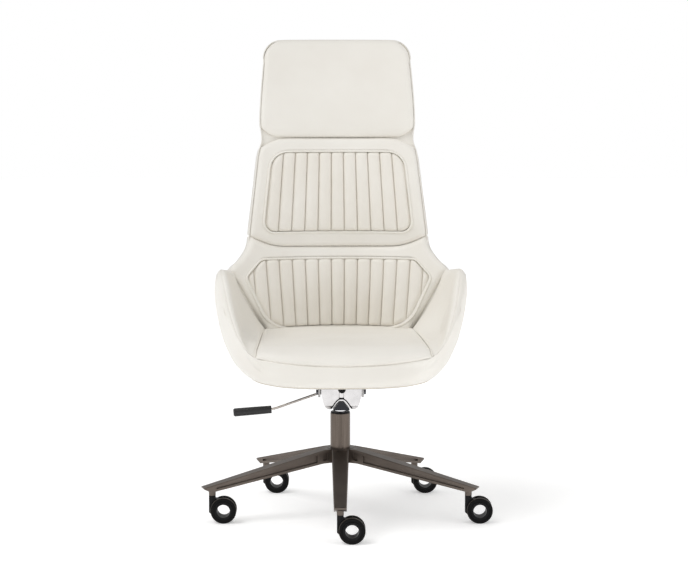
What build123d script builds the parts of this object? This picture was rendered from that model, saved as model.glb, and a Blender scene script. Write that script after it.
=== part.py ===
"""High-back swivel office chair.

Frame: millimetres, +Z up, origin on the floor at the axis of the gas column.
The sitter faces -Y. +X is the sitter's left. The star base stands turned a little about the column.
"""

import math
import os

from build123d import *

os.makedirs("parts", exist_ok=True)

# ----------------------------------------------------------------- driving dimensions
BASE_YAW = -2.0  # how far the star base stands turned from the seat, degrees
N_ARMS = 5
TIP_R = 357.0  # base arm tip radius
STEM_R = 332.5  # caster stem circle radius
HUB_TOP = 170.0
HUB_BOTTOM = 136.0
HUB_R = 33.0
COLUMN_R = 25.0
COLUMN_TOP = 258.0
COLUMN_FOOT = 72.0
CYL_R = 14.0  # gas cylinder radius
STROKE = 80.0  # gas lift stroke
WHEEL_R = 32.0
WHEEL_BORE = 20.1
TRAIL = 28.0  # caster trail, stem axis to wheel axis
WEB = 7.2  # half thickness of the caster body between the wheels
WHEEL_IN = 7.6
WHEEL_OUT = 19.4
HUB_TUBE = 19.6
RING_OUT = 21.2
EYE_R = 16.25  # open centre of the caster
STEM_PIN_R = 5.5
NECK_TOP = 68.0

TILT_Y, TILT_Z = -50.0, 318.0  # tilt shaft
SHAFT_R = 6.0
PLATE_Z0, PLATE_Z1 = 367.0, 372.0  # seat plate
LEVER_Z = 307.5
LEVER_PIVOT = (-38.0, 317.0)

SKIN = 12.0  # outer upholstery thickness
FRAME_T = 10.0  # moulded frame thickness
SEAM1 = 659.0  # seam between lower and upper back
SEAM2 = 935.6  # seam under the headrest
HEAD_TOP = 1187.0
CREASE_Y = 105.0  # where the arm pads meet the back

NAMES = {}


def keep(part, name):
    part.label = name
    export_step(part, f"parts/{name}.step")
    NAMES[name] = part


def main_solids(part, smallest=200.0):
    """Drops the slivers that cutting leaves."""
    kept = [s for s in part.solids() if s.volume > smallest]
    return kept[0] if len(kept) == 1 else Compound(children=kept)


# ----------------------------------------------------------------- helpers for outlines
def inset(points, d):
    """Moves an open run of points by d to the left of its direction."""
    out = []
    n = len(points)
    for i, (x, y) in enumerate(points):
        x0, y0 = points[max(i - 1, 0)]
        x1, y1 = points[min(i + 1, n - 1)]
        dx, dy = x1 - x0, y1 - y0
        length = math.hypot(dx, dy)
        out.append((x - dy / length * d, y + dx / length * d))
    return out


# front view of the bucket, from the centre of the bottom up the right-hand side
FRONT_HALF = [
    (0, 358), (110, 359), (180, 361.5), (214, 366.5), (240, 380), (265, 412),
    (284, 445), (298, 482), (308, 525), (313, 575), (311, 610), (304, 650), (296, 700),
]
# side view of the bucket: down the front apron, along the bottom and up the back
SIDE_RUN = [
    (-285, 413.7), (-284, 392), (-275, 370), (-255, 360.5), (-200, 357), (-50, 355.5),
    (100, 356), (170, 362), (225, 385), (256, 430), (268, 480), (278, 560), (285, SEAM1),
]
# side view of the rim: from the back down to the armrest and forward to its tip
RIM_RUN = [(206, SEAM1), (194, 640), (176, 620), (150, 607), (110, 606), (50, 614), (-20, 623), (-75, 627), (-97, 618)]
# side view of the front edge, from the armrest tip down to the seat front
EDGE_RUN = [(-97, 618), (-109, 598), (-140, 560), (-176, 510), (-216, 460), (-246, 434), (-285, 413.7)]
# plan of the bucket, right-hand half, from the front to the back
PLAN_HALF = [
    (0, -285), (125, -276), (212, -246), (246, -216), (277, -176), (292, -140), (303, -100),
    (311, -55), (314, -10), (309, 50), (291, 110), (270, 150), (240, 192), (190, 235), (110, 273), (0, 287),
]


def mirrored(half):
    """A whole run, left to right, from its right-hand half that starts on the centre line."""
    return [(-x, y) for x, y in reversed(half[1:])] + half


def bucket_volume(d, open_rim):
    """The bucket's outer volume, set in by d. With open_rim it runs on above the rim."""
    with BuildPart() as volume:
        front = inset(mirrored(FRONT_HALF), d)
        with BuildSketch(Plane.XZ):
            with BuildLine():
                run = Spline(*front)
                Polyline(run @ 1, (run.position_at(1).X, 760), (run.position_at(0).X, 760), run @ 0)
            make_face()
        extrude(amount=420, both=True)
        side = inset(SIDE_RUN, d)
        with BuildSketch(Plane.YZ):
            with BuildLine():
                run = Spline(*side)
                if open_rim:
                    Polyline(run @ 1, (side[-1][0], 740), (side[0][0], 740), run @ 0)
                else:
                    Line(run @ 1, RIM_RUN[0])
                    Spline(*RIM_RUN)
                    Spline(*EDGE_RUN)
            make_face()
        extrude(amount=420, both=True, mode=Mode.INTERSECT)
        whole = mirrored(PLAN_HALF)[1:]  # closed, so the last point isn't repeated
        n = len(whole)
        loop = []
        for i, (x, y) in enumerate(whole):
            x0, y0 = whole[i - 1]
            x1, y1 = whole[(i + 1) % n]
            dx, dy = x1 - x0, y1 - y0
            length = math.hypot(dx, dy)
            loop.append((x - dy / length * d, y + dx / length * d))
        with BuildSketch(Plane.XY):
            with BuildLine():
                Spline(*loop, periodic=True)
            make_face()
        extrude(amount=800, mode=Mode.INTERSECT)
    return volume


def mirrored_open(half):
    return [(-x, z) for x, z in reversed(half)] + list(half)


# ----------------------------------------------------------------- star base
ARM_SIDE = [
    (10, HUB_TOP), (44, HUB_TOP - 1.0), (TIP_R, 89.5), (TIP_R - 1.0, 86.0), (TIP_R - 19, 77.6), (50, 134.3), (10, HUB_BOTTOM),
]
with BuildPart() as pockets:
    # recessed panels in both flanks, with a rib near the hub
    with BuildSketch(Plane.XZ):
        with BuildLine():
            Polyline((66, 155.0), (326, 90.6), (326, 86.0), (66, 137.0), close=True)
        make_face()
        with BuildLine():
            Polyline((39, 161.0), (52, 158.4), (52, 140.0), (39, 142.4), close=True)
        make_face()
    extrude(amount=30, both=True)
    with BuildSketch(Plane.XY):
        with BuildLine():
            Polyline((0, -15.6), (45, -14.8), (TIP_R, -10.0), (TIP_R, 10.0), (45, 14.8), (0, 15.6), close=True)
        make_face()
    extrude(amount=300, mode=Mode.SUBTRACT)

with BuildPart() as arm_solid:
    with BuildSketch(Plane.XZ):
        with BuildLine():
            Polyline(*ARM_SIDE, close=True)
        make_face()
    extrude(amount=30, both=True)
    with BuildSketch(Plane.XY):
        with BuildLine():
            Polyline((0, -21.5), (TIP_R + 5, -15.0), (TIP_R + 5, 15.0), (0, 21.5), close=True)
        make_face()
    extrude(amount=300, mode=Mode.INTERSECT)
    fillet(arm_solid.edges().filter_by(lambda e: e.length > 250).group_by(Axis.Z)[-1], radius=2.4)
    add(pockets.part, mode=Mode.SUBTRACT)
    # caster socket boss under the tip
    with Locations((STEM_R, 0, NECK_TOP + 0.6)):
        Cylinder(8.6, 18, align=(Align.CENTER, Align.CENTER, Align.MIN))

with BuildPart() as base_star:
    with PolarLocations(0, N_ARMS, start_angle=270 + BASE_YAW):
        add(arm_solid.part)
    with BuildSketch(Plane.XY.offset(HUB_BOTTOM)):
        Circle(HUB_R)
    extrude(amount=HUB_TOP - HUB_BOTTOM)
    # tapered bore for the column
    with BuildSketch(Plane.XZ):
        with BuildLine():
            Polyline((0, HUB_BOTTOM - 30), (21.55, HUB_BOTTOM - 30), (21.55, HUB_BOTTOM), (25.05, 167), (25.05, HUB_TOP + 30), (0, HUB_TOP + 30), close=True)
        make_face()
    revolve(axis=Axis.Z, mode=Mode.SUBTRACT)
    with PolarLocations(STEM_R, N_ARMS, start_angle=270 + BASE_YAW):
        with Locations((0, 0, NECK_TOP)):
            Cylinder(7.0, 22.6, align=(Align.CENTER, Align.CENTER, Align.MIN), mode=Mode.SUBTRACT)
keep(base_star.part, "base_star")

with BuildPart() as caster_stems:
    with PolarLocations(STEM_R, N_ARMS, start_angle=270 + BASE_YAW):
        with Locations((0, 0, 44.0)):
            Cylinder(STEM_PIN_R, 46.0, align=(Align.CENTER, Align.CENTER, Align.MIN))
    chamfer(caster_stems.edges().filter_by(GeomType.CIRCLE), length=0.8)
keep(caster_stems.part, "caster_stems")

with BuildPart() as stem_sleeves:
    with PolarLocations(STEM_R, N_ARMS, start_angle=270 + BASE_YAW):
        with Locations((0, 0, NECK_TOP + 0.6)):
            Cylinder(6.95, 20.0, align=(Align.CENTER, Align.CENTER, Align.MIN))
            Cylinder(STEM_PIN_R + 0.05, 20.0, align=(Align.CENTER, Align.CENTER, Align.MIN), mode=Mode.SUBTRACT)
keep(stem_sleeves.part, "stem_sleeves")

# ----------------------------------------------------------------- column
with BuildPart() as column_tube:
    with BuildSketch(Plane.XZ):
        with BuildLine():
            Polyline(
                (5.1, COLUMN_FOOT), (18.5, COLUMN_FOOT), (19.0, 126), (21.45, 134.0), (21.5, HUB_BOTTOM), (25.0, 167), (COLUMN_R, COLUMN_TOP - 1),
                (24.0, COLUMN_TOP), (22.95, COLUMN_TOP), (22.95, 172), (17.0, 128), (17.0, COLUMN_FOOT + 3), (5.1, COLUMN_FOOT + 3), close=True,
            )
        make_face()
    revolve(axis=Axis.Z)
keep(column_tube.part, "column_tube")

with BuildPart() as column_bush:
    with BuildSketch(Plane.XZ):
        with BuildLine():
            Polyline(
                (CYL_R + 0.05, 178), (22.85, 178), (22.85, COLUMN_TOP + 0.1), (24.2, COLUMN_TOP + 0.1), (24.2, COLUMN_TOP + 2.2), (23.0, COLUMN_TOP + 3.4),
                (17.0, COLUMN_TOP + 3.4), (CYL_R + 0.05, COLUMN_TOP + 2.4), close=True,
            )
        make_face()
    revolve(axis=Axis.Z)
keep(column_bush.part, "column_bush")

with BuildPart() as thrust_bearing:
    with BuildSketch(Plane.XY.offset(COLUMN_FOOT + 3.1)):
        Circle(12)
        Circle(5.1, mode=Mode.SUBTRACT)
    extrude(amount=1.6)
    with BuildSketch(Plane.XY.offset(COLUMN_FOOT + 4.7)):
        Circle(11)
        Circle(6.0, mode=Mode.SUBTRACT)
    extrude(amount=2.0)
    with BuildSketch(Plane.XY.offset(COLUMN_FOOT + 6.7)):
        Circle(12)
        Circle(5.1, mode=Mode.SUBTRACT)
    extrude(amount=1.6)
keep(thrust_bearing.part, "thrust_bearing")

with BuildPart() as piston_rod:
    with BuildSketch(Plane.XZ):
        with BuildLine():
            Polyline(
                (0, 62), (4.2, 62), (5.0, 63), (5.0, 67), (4.0, 67), (4.0, 69.2), (5.0, 69.2), (5.0, COLUMN_FOOT + 8.5), (8.0, COLUMN_FOOT + 8.5), (8.0, COLUMN_FOOT + 11),
                (5.0, COLUMN_FOOT + 11), (5.0, 186), (12.3, 186), (12.3, 196), (10.0, 198), (0, 198), close=True,
            )
        make_face()
    revolve(axis=Axis.Z)
keep(piston_rod.part, "piston_rod")

with BuildPart() as rod_clip:
    with BuildSketch(Plane.XY.offset(67.2)):
        Circle(8.5)
        Circle(4.05, mode=Mode.SUBTRACT)
        with Locations((0, -6)):
            Rectangle(3.0, 8.0, mode=Mode.SUBTRACT)
    extrude(amount=1.6)
keep(rod_clip.part, "rod_clip")

CYL_FOOT = 86.0
with BuildPart() as gas_cylinder:
    with BuildSketch(Plane.XZ):
        with BuildLine():
            Polyline(
                (5.1, CYL_FOOT), (13.2, CYL_FOOT), (CYL_R, CYL_FOOT + 1), (CYL_R, 270), (13.0, 300), (12.2, 301), (4.1, 301),
                (4.1, 292), (12.45, 288), (12.45, CYL_FOOT + 10), (5.1, CYL_FOOT + 10), close=True,
            )
        make_face()
    revolve(axis=Axis.Z)
keep(gas_cylinder.part, "gas_cylinder")

with BuildPart() as valve_pin:
    with BuildSketch(Plane.XZ):
        with BuildLine():
            Polyline((0, 290), (2.4, 290), (4.0, 291.5), (4.0, 305.4), (3.4, 306), (0, 306), close=True)
        make_face()
    revolve(axis=Axis.Z)
keep(valve_pin.part, "valve_pin")

# ----------------------------------------------------------------- casters
# Front first, then round the star anticlockwise seen from above.
CASTERS = ["front", "left", "rear_left", "rear_right", "right"]
trail_dir = math.radians(BASE_YAW)
for k, place in enumerate(CASTERS):
    a = math.radians(270 + BASE_YAW + 72 * k)
    stand = Location((STEM_R * math.cos(a), STEM_R * math.sin(a), 0), (0, 0, BASE_YAW))
    with BuildPart() as housing:
        with BuildSketch(Plane.XZ):
            with Locations((TRAIL, WHEEL_R)):
                Circle(28.6)
            with BuildLine():
                Polyline((-8, NECK_TOP), (-8, 27), (7.8, 11.8), (TRAIL, WHEEL_R), (TRAIL, 60), (13, 60.0), (8, 62.5), (8, NECK_TOP), close=True)
            make_face()
        extrude(amount=WEB, both=True)
        with Locations((0, 0, 59.5)):
            Cylinder(8.0, NECK_TOP - 59.5, align=(Align.CENTER, Align.CENTER, Align.MIN))
        with BuildSketch(Plane.XZ):
            with Locations((TRAIL, WHEEL_R)):
                Circle(20.0)
        extrude(amount=HUB_TUBE, both=True)
        with BuildSketch(Plane.XZ):
            with Locations((TRAIL, WHEEL_R)):
                Circle(EYE_R)
        extrude(amount=HUB_TUBE + 5, both=True, mode=Mode.SUBTRACT)
        with Locations((0, 0, 43.4)):
            Cylinder(STEM_PIN_R + 0.06, 40, align=(Align.CENTER, Align.CENTER, Align.MIN), mode=Mode.SUBTRACT)
    keep(housing.part.moved(stand), f"caster_{place}_housing")
    for s, which in ((-1, "front"), (1, "back")):
        with BuildPart() as wheel:
            with BuildSketch(Plane.XY):
                with BuildLine():
                    Polyline(
                        (WHEEL_BORE, WHEEL_IN), (WHEEL_R - 1.6, WHEEL_IN), (WHEEL_R, WHEEL_IN + 1.6), (WHEEL_R, WHEEL_OUT - 3.0),
                        (WHEEL_R - 0.9, WHEEL_OUT - 0.9), (WHEEL_R - 3.0, WHEEL_OUT), (23.0, WHEEL_OUT), (22.4, WHEEL_OUT - 1.0), (WHEEL_BORE, WHEEL_OUT - 1.0), close=True,
                    )
                make_face()
            revolve(axis=Axis.Y)
        turned = wheel.part if s > 0 else wheel.part.mirror(Plane.XZ)
        keep(turned.moved(stand * Location((TRAIL, 0, WHEEL_R))), f"caster_{place}_wheel_{which}")
    with BuildPart() as rings:
        for s in (-1, 1):
            with BuildSketch(Plane.XZ.offset(-s * HUB_TUBE)):
                with Locations((TRAIL, WHEEL_R)):
                    Circle(21.9)
                    Circle(EYE_R, mode=Mode.SUBTRACT)
            extrude(amount=-s * (RING_OUT - HUB_TUBE))
    keep(rings.part.moved(stand), f"caster_{place}_rings")

# ----------------------------------------------------------------- tilt mechanism
with BuildPart() as mechanism_housing:
    # front view, narrowing downward with rounded lower lobes
    with BuildSketch(Plane.XZ) as front_view:
        with BuildLine():
            Polyline((-50, 345), (-50, 318), (-45, 296), (-38, 279.5), (38, 279.5), (45, 296), (50, 318), (50, 345), close=True)
        make_face()
        fillet(front_view.vertices().group_by(Axis.Y)[0], radius=13)
    extrude(amount=90, both=True)
    # side view: tall in front, lower behind
    with BuildSketch(Plane.YZ) as side_view:
        with BuildLine():
            Polyline((-86, 345), (-86, 276), (75, 276), (75, 325), (-32, 345), close=True)
        make_face()
        fillet(side_view.vertices().group_by(Axis.Y)[0], radius=17)
    extrude(amount=60, both=True, mode=Mode.INTERSECT)
    # hollow for the springs and the lever
    with BuildSketch(Plane.XZ):
        with BuildLine():
            Polyline((-45, 400), (-45, 316), (-42, 300), (-38, 302), (38, 302), (42, 300), (45, 316), (45, 400), close=True)
        make_face()
    extrude(amount=69, both=True, mode=Mode.SUBTRACT)
    # arched tunnel along the bottom
    with BuildSketch(Plane.XZ):
        with BuildLine():
            p = Polyline((-24, 270), (-21, 278), (-12.5, 290.5), (-4, 296.4))
            q = Line((-4, 296.4), (4, 296.4))
            r = Polyline((4, 296.4), (12.5, 290.5), (21, 278), (24, 270))
            Line((24, 270), (-24, 270))
        make_face()
    extrude(amount=100, both=True, mode=Mode.SUBTRACT)
    # deeper arch in the front face only
    with BuildSketch(Plane.XZ.offset(72)):
        with BuildLine():
            Polyline(
                (-27, 270), (-26, 281), (-17, 294), (-8.5, 303), (-4, 305.5), (4, 305.5), (8.5, 303), (17, 294), (26, 281), (27, 270), close=True,
            )
        make_face()
    extrude(amount=30, mode=Mode.SUBTRACT)
    # vertical groove between the two front lobes
    with BuildSketch(Plane.XY.offset(290)):
        with Locations((0, -88.5)):
            Circle(7.0)
    extrude(amount=60, mode=Mode.SUBTRACT)
    # boss that takes the taper of the gas cylinder
    with BuildSketch(Plane.XZ):
        with BuildLine():
            Polyline((0, 267.5), (17.0, 267.5), (18.5, 269.0), (18.5, 272), (17.6, 298), (17.6, 304), (0, 304), close=True)
        make_face()
    revolve(axis=Axis.Z)
    with BuildSketch(Plane.XZ):
        with BuildLine():
            Polyline((0, 260), (CYL_R + 0.05, 260), (CYL_R + 0.05, 270), (13.05, 300), (13.05, 301.5), (5.0, 301.5), (5.0, 330), (0, 330), close=True)
        make_face()
    revolve(axis=Axis.Z, mode=Mode.SUBTRACT)
    # dome in front of the boss, under the arch
    with BuildSketch(Plane.XZ.offset(84)):
        with BuildLine():
            Polyline((-20.5, 277.2), (-19.8, 280), (-12.5, 289.5), (-5, 297), (5, 297), (12.5, 289.5), (19.8, 280), (20.5, 277.2), close=True)
        make_face()
    extrude(amount=-66)
    with Locations((0, 0, 262)):
        Cylinder(CYL_R + 0.6, 8, align=(Align.CENTER, Align.CENTER, Align.MIN), mode=Mode.SUBTRACT)
    # holes: tilt shaft, tension screw, lever slot, lever pivot pin
    with Locations(Location((0, TILT_Y, TILT_Z), (0, 90, 0))):
        Cylinder(SHAFT_R + 0.05, 140, mode=Mode.SUBTRACT)
    with Locations(Location((0, -80, 334), (90, 0, 0))):
        Cylinder(4.1, 40, mode=Mode.SUBTRACT)
    with BuildSketch(Plane.YZ.offset(-60)):
        with Locations((0, LEVER_Z + 1)):
            SlotCenterToCenter(8, 12, rotation=90)
    extrude(amount=20, mode=Mode.SUBTRACT)
keep(mechanism_housing.part, "mechanism_housing")

with BuildPart() as tilt_shaft:
    with Locations(Location((0, TILT_Y, TILT_Z), (0, 90, 0))):
        Cylinder(SHAFT_R, 124)
    chamfer(tilt_shaft.edges().filter_by(GeomType.CIRCLE), length=0.8)
keep(tilt_shaft.part, "tilt_shaft")

with BuildPart() as tilt_springs:
    for x0 in (-36.0, 12.0):
        with BuildLine():
            coil = Helix(pitch=4.9, height=23.5, radius=10.6, center=(x0, TILT_Y, TILT_Z), direction=(1, 0, 0))
        with BuildSketch(Plane(origin=coil @ 0, z_dir=coil % 0)):
            Circle(2.0)
        sweep(path=coil, is_frenet=True)
keep(tilt_springs.part, "tilt_springs")

with BuildPart() as lever_pivot_pin:
    with Locations(Location((LEVER_PIVOT[0], 0, LEVER_PIVOT[1]), (90, 0, 0))):
        Cylinder(2.5, 26)
keep(lever_pivot_pin.part, "lever_pivot_pin")

with BuildPart() as tension_screw:
    with Locations(Location((0, -83, 334), (90, 0, 0))):
        Cylinder(4.0, 30)
keep(tension_screw.part, "tension_screw")

with BuildPart() as tension_knob:
    with BuildSketch(Plane.XZ.offset(98.0)):
        with Locations((0, 334)):
            Circle(9.5)
    extrude(amount=20)
    fillet(tension_knob.edges().filter_by(GeomType.CIRCLE).sort_by(Axis.Y)[0], radius=2.5)
    with BuildSketch(Plane.XZ.offset(97.9)):
        with Locations((0, 334)):
            with PolarLocations(10.3, 10):
                Circle(1.6)
    extrude(amount=22, mode=Mode.SUBTRACT)
keep(tension_knob.part, "tension_knob")

# ----------------------------------------------------------------- height lever
with BuildPart() as lever_yoke:
    with BuildSketch(Plane.XZ):
        with BuildLine():
            Polyline((-42, 322), (-42, 311), (-39.9, 304), (-31, 304), (-31, 322), close=True)
        make_face()
    extrude(amount=6.5, both=True)
    # tongue that reaches over the valve pin
    with Locations((-15.0, 0, 312.2)):
        Box(38.0, 9.0, 5.4)
    with Locations((0, 0, 308.2)):
        Cylinder(2.6, 2.8)
    with Locations(Location((-40, 0, LEVER_Z), (0, 90, 0))):
        Cylinder(3.06, 60, mode=Mode.SUBTRACT)
    with Locations(Location((LEVER_PIVOT[0], 0, LEVER_PIVOT[1]), (90, 0, 0))):
        Cylinder(2.56, 40, mode=Mode.SUBTRACT)
keep(lever_yoke.part, "lever_yoke")

LEVER_PTS = [(-26.0, 0, LEVER_Z), (-53.0, 0, LEVER_Z), (-160.0, 0, 270.2), (-178.0, 0, 266.0), (-205.0, 0, 264.0)]
with BuildPart() as lever_rod:
    with BuildLine():
        path = FilletPolyline(*LEVER_PTS, radius=[9.0, 30.0, 60.0])
    with BuildSketch(Plane(origin=path @ 0, z_dir=path % 0)):
        Circle(3.0)
    sweep(path=path)
keep(lever_rod.part, "lever_rod")

GRIP_A, GRIP_B = Vector(-172.5, 0, 266.8), Vector(-268.0, 0, 259.2)
grip_plane = Plane(origin=GRIP_A, x_dir=(0, 1, 0), z_dir=GRIP_B - GRIP_A)
with BuildPart() as lever_grip:
    with BuildSketch(grip_plane):
        Ellipse(7.5, 9.6)
    with BuildSketch(grip_plane.offset(48)):
        Ellipse(7.8, 10.2)
    with BuildSketch(grip_plane.offset(92)):
        Ellipse(8.0, 10.4)
    loft()
    with BuildSketch(grip_plane.offset(92)):
        Ellipse(8.0, 10.4)
    with BuildSketch(grip_plane.offset(95.5)):
        Ellipse(5.6, 8.0)
    loft()
    add(lever_rod.part, mode=Mode.SUBTRACT)
keep(lever_grip.part.solids().sort_by(SortBy.VOLUME)[-1] if len(lever_grip.part.solids()) > 1 else lever_grip.part, "lever_grip")

# ----------------------------------------------------------------- seat plate
with BuildPart() as seat_plate:
    with BuildSketch(Plane.XY.offset(PLATE_Z0)):
        with Locations((0, 10)):
            RectangleRounded(180, 200, 12)
        with Locations((0, 10)):
            with GridLocations(150, 150, 2, 2):
                Circle(4.2, mode=Mode.SUBTRACT)
    extrude(amount=PLATE_Z1 - PLATE_Z0)
    for s in (-1, 1):
        with BuildSketch(Plane.YZ.offset(s * 51.5)):
            with BuildLine():
                Polyline((TILT_Y - 30, PLATE_Z0 + 0.5), (TILT_Y - 13, TILT_Z), (TILT_Y + 13, TILT_Z), (TILT_Y + 44, PLATE_Z0 + 0.5), close=True)
            make_face()
            with Locations((TILT_Y, TILT_Z)):
                Circle(13)
        extrude(amount=s * 5.0)
    with Locations(Location((0, TILT_Y, TILT_Z), (0, 90, 0))):
        Cylinder(7.6, 140, mode=Mode.SUBTRACT)
keep(seat_plate.part, "seat_plate")

with BuildPart() as pivot_bushes:
    for s in (-1, 1):
        with BuildSketch(Plane.YZ.offset(s * 50.9)):
            with Locations((TILT_Y, TILT_Z)):
                Circle(7.55)
                Circle(SHAFT_R + 0.05, mode=Mode.SUBTRACT)
        extrude(amount=s * 6.4)
keep(pivot_bushes.part, "pivot_bushes")

with BuildPart() as seat_bolts:
    with Locations((0, 10, 0)):
        with GridLocations(150, 150, 2, 2):
            with Locations((0, 0, PLATE_Z0 - 5.3)):
                Cylinder(6.6, 5.3, align=(Align.CENTER, Align.CENTER, Align.MIN))
            with Locations((0, 0, PLATE_Z0 - 1)):
                Cylinder(3.9, 12.5, align=(Align.CENTER, Align.CENTER, Align.MIN))
    for c in [(75, 85), (-75, 85), (75, -65), (-75, -65)]:
        with BuildSketch(Plane.XY.offset(PLATE_Z0 - 5.4)):
            with Locations(c):
                RegularPolygon(3.2, 6)
        extrude(amount=3.0, mode=Mode.SUBTRACT)
keep(seat_bolts.part, "seat_bolts")

# ----------------------------------------------------------------- upholstered shell, working volumes
GAP = 0.4  # between the moulded frame and the cushions
outer = bucket_volume(0, False)
inner = bucket_volume(SKIN, True)
inner2 = bucket_volume(SKIN + FRAME_T, True)
inner3 = bucket_volume(SKIN + FRAME_T + GAP, True)


def rim_prism(drop):
    """Everything below and behind the rim of the bucket, lowered by drop."""
    with BuildPart() as volume:
        with BuildSketch(Plane.YZ):
            with BuildLine():
                back = Spline(*[(y, z - drop) for y, z in RIM_RUN])
                front = Spline(*[(y, z - drop) for y, z in EDGE_RUN])
                Polyline(front @ 1, (-420, 413.7 - drop), (-420, 300), (420, 300), (420, SEAM1 - drop), back @ 0)
            make_face()
        extrude(amount=420, both=True)
    return volume


with BuildPart() as hollow:
    add(inner.part)
    add(rim_prism(14.0).part, mode=Mode.INTERSECT)
with BuildPart() as thick_shell:
    add(outer.part)
    add(inner3.part, mode=Mode.SUBTRACT)
with BuildPart() as padding:
    add(inner3.part)
    add(rim_prism(0.0).part, mode=Mode.INTERSECT)

# the sitter's space between the arm pads
CAVITY_FRONT = [(196, 440), (226, 458), (243, 480), (256, 510), (268, 560), (276, 605), (284, 660), (284, 780)]
CAVITY_REAR = [(172, 440), (184, 458), (198, 480), (217, 510), (247, 560), (275, 605), (308, 660), (308, 780)]
with BuildPart() as cavity:
    for y, half in ((-340, CAVITY_FRONT), (-140, CAVITY_FRONT), (CREASE_Y + 8, CAVITY_REAR)):
        with BuildSketch(Plane.XZ.offset(-y)):
            with BuildLine():
                Polyline(*mirrored_open(half), close=True)
            make_face()
    loft(ruled=True)


# height, half width to the crease, Y of the crease, Y of the centre
LOWER_BACK = [(365, 150, CREASE_Y, 172), (447, 179, CREASE_Y, 172), (500, 211, CREASE_Y, 167), (560, 247, CREASE_Y, 167), (610, 278, CREASE_Y, 178), (SEAM1, 300, 112, 204)]


def lower_back_volume(dy):
    with BuildPart() as volume:
        for z, xc, ycr, yc in LOWER_BACK:
            edge, centre = ycr + dy, yc + dy
            mid = edge + 0.75 * (centre - edge)
            with BuildSketch(Plane.XY.offset(z)):
                with BuildLine():
                    Spline((-xc, edge), (-xc / 2, mid), (0, centre), (xc / 2, mid), (xc, edge))
                    Polyline((xc, edge), (360, edge), (360, 460), (-360, 460), (-360, edge), (-xc, edge))
                make_face()
        loft(ruled=True)
    return volume


UPPER_FRONT = [(SEAM1, 208), (675, 197), (700, 191), (750, 190), (810, 197), (870, 208), (910, 219), (SEAM2, 236)]
HEAD_FRONT = [(SEAM2, 238), (955, 226), (1000, 221), (1060, 227), (1120, 243), (1160, 263), (HEAD_TOP + 0.5, 296)]
REAR = [(SEAM1, 285, 0.00165), (700, 287, 0.0016), (790, 292, 0.0016), (880, 301, 0.00155), (SEAM2, 308, 0.0015), (1000, 315, 0.0015), (1060, 321, 0.00145), (1120, 325, 0.0014), (1160, 324, 0.0014), (HEAD_TOP + 0.5, 310, 0.0013)]


def behind(rows, dy, k):
    """Everything behind a curved front surface given at its centre."""
    with BuildPart() as volume:
        for z, yc in rows:
            y = yc + dy
            with BuildSketch(Plane.XY.offset(z)):
                with BuildLine():
                    Spline(*[(x, y - k * x * x) for x in (-260, -170, -85, 0, 85, 170, 260)])
                    Polyline((260, y - k * 67600), (260, 470), (-260, 470), (-260, y - k * 67600))
                make_face()
        loft(ruled=True)
    return volume


def before(rows, dy):
    """Everything in front of the curved rear surface given at its centre."""
    with BuildPart() as volume:
        for z, yc, k in rows:
            y = yc + dy
            with BuildSketch(Plane.XY.offset(z)):
                with BuildLine():
                    Spline(*[(x, y - k * x * x) for x in (-260, -170, -85, 0, 85, 170, 260)])
                    Polyline((260, y - k * 67600), (260, 60), (-260, 60), (-260, y - k * 67600))
                make_face()
        loft(ruled=True)
    return volume


def upper_outline(d, z0, z1):
    """Front view of the upper back and headrest, set in by d, between two heights."""
    with BuildPart() as volume:
        with BuildSketch(Plane.XZ):
            with BuildLine():
                Polyline((-231 + d, SEAM1 - 1), (-229 + d, 690), (-203 + d, 905), (-196 + d, 945), (-184.5 + d, HEAD_TOP - d), (184.5 - d, HEAD_TOP - d), (196 - d, 945), (203 - d, 905), (229 - d, 690), (231 - d, SEAM1 - 1), close=True)
            make_face()
        extrude(amount=500, both=True)
        tops = volume.edges().filter_by(Axis.Y).group_by(Axis.Z)[-1]
        fillet(tops, radius=38)
        with Locations((0, 0, (z0 + z1) / 2)):
            Box(600, 1200, z1 - z0, mode=Mode.INTERSECT)
    return volume


# the panel outlines, front view
def hexagon(grow):
    right = [(174 + grow, 455 - grow), (234 + grow * 1.15, 584), (196 + grow * 0.6, 627 + grow)]
    return right + [(-x, z) for x, z in reversed(right)]


with BuildPart() as hex_prism:
    with BuildSketch(Plane.XZ):
        with BuildLine():
            Polyline(*hexagon(0), close=True)
        make_face()
    extrude(amount=-400)
    fillet(hex_prism.edges().filter_by(Axis.Y), radius=18)
with BuildPart() as hex_piping:
    with BuildSketch(Plane.XZ):
        with BuildLine():
            Polyline(*hexagon(4.5), close=True)
        make_face()
    extrude(amount=-400)
    fillet(hex_piping.edges().filter_by(Axis.Y), radius=20)
    add(hex_prism.part, mode=Mode.SUBTRACT)


def trapezoid(grow):
    right = [(188 + grow, 698 - grow), (166 + grow, 900 + grow)]
    return right + [(-x, z) for x, z in reversed(right)]


with BuildPart() as trap_prism:
    with BuildSketch(Plane.XZ):
        with BuildLine():
            Polyline(*trapezoid(0), close=True)
        make_face()
    extrude(amount=-400)
    fillet(trap_prism.edges().filter_by(Axis.Y).group_by(Axis.Z)[-1], radius=42)
    fillet(trap_prism.edges().filter_by(Axis.Y).group_by(Axis.Z)[0], radius=30)
with BuildPart() as trap_piping:
    with BuildSketch(Plane.XZ):
        with BuildLine():
            Polyline(*trapezoid(4.5), close=True)
        make_face()
    extrude(amount=-400)
    fillet(trap_piping.edges().filter_by(Axis.Y).group_by(Axis.Z)[-1], radius=46)
    fillet(trap_piping.edges().filter_by(Axis.Y).group_by(Axis.Z)[0], radius=34)
    add(trap_prism.part, mode=Mode.SUBTRACT)

# ----------------------------------------------------------------- frames
low_back = lower_back_volume(0)

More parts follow.
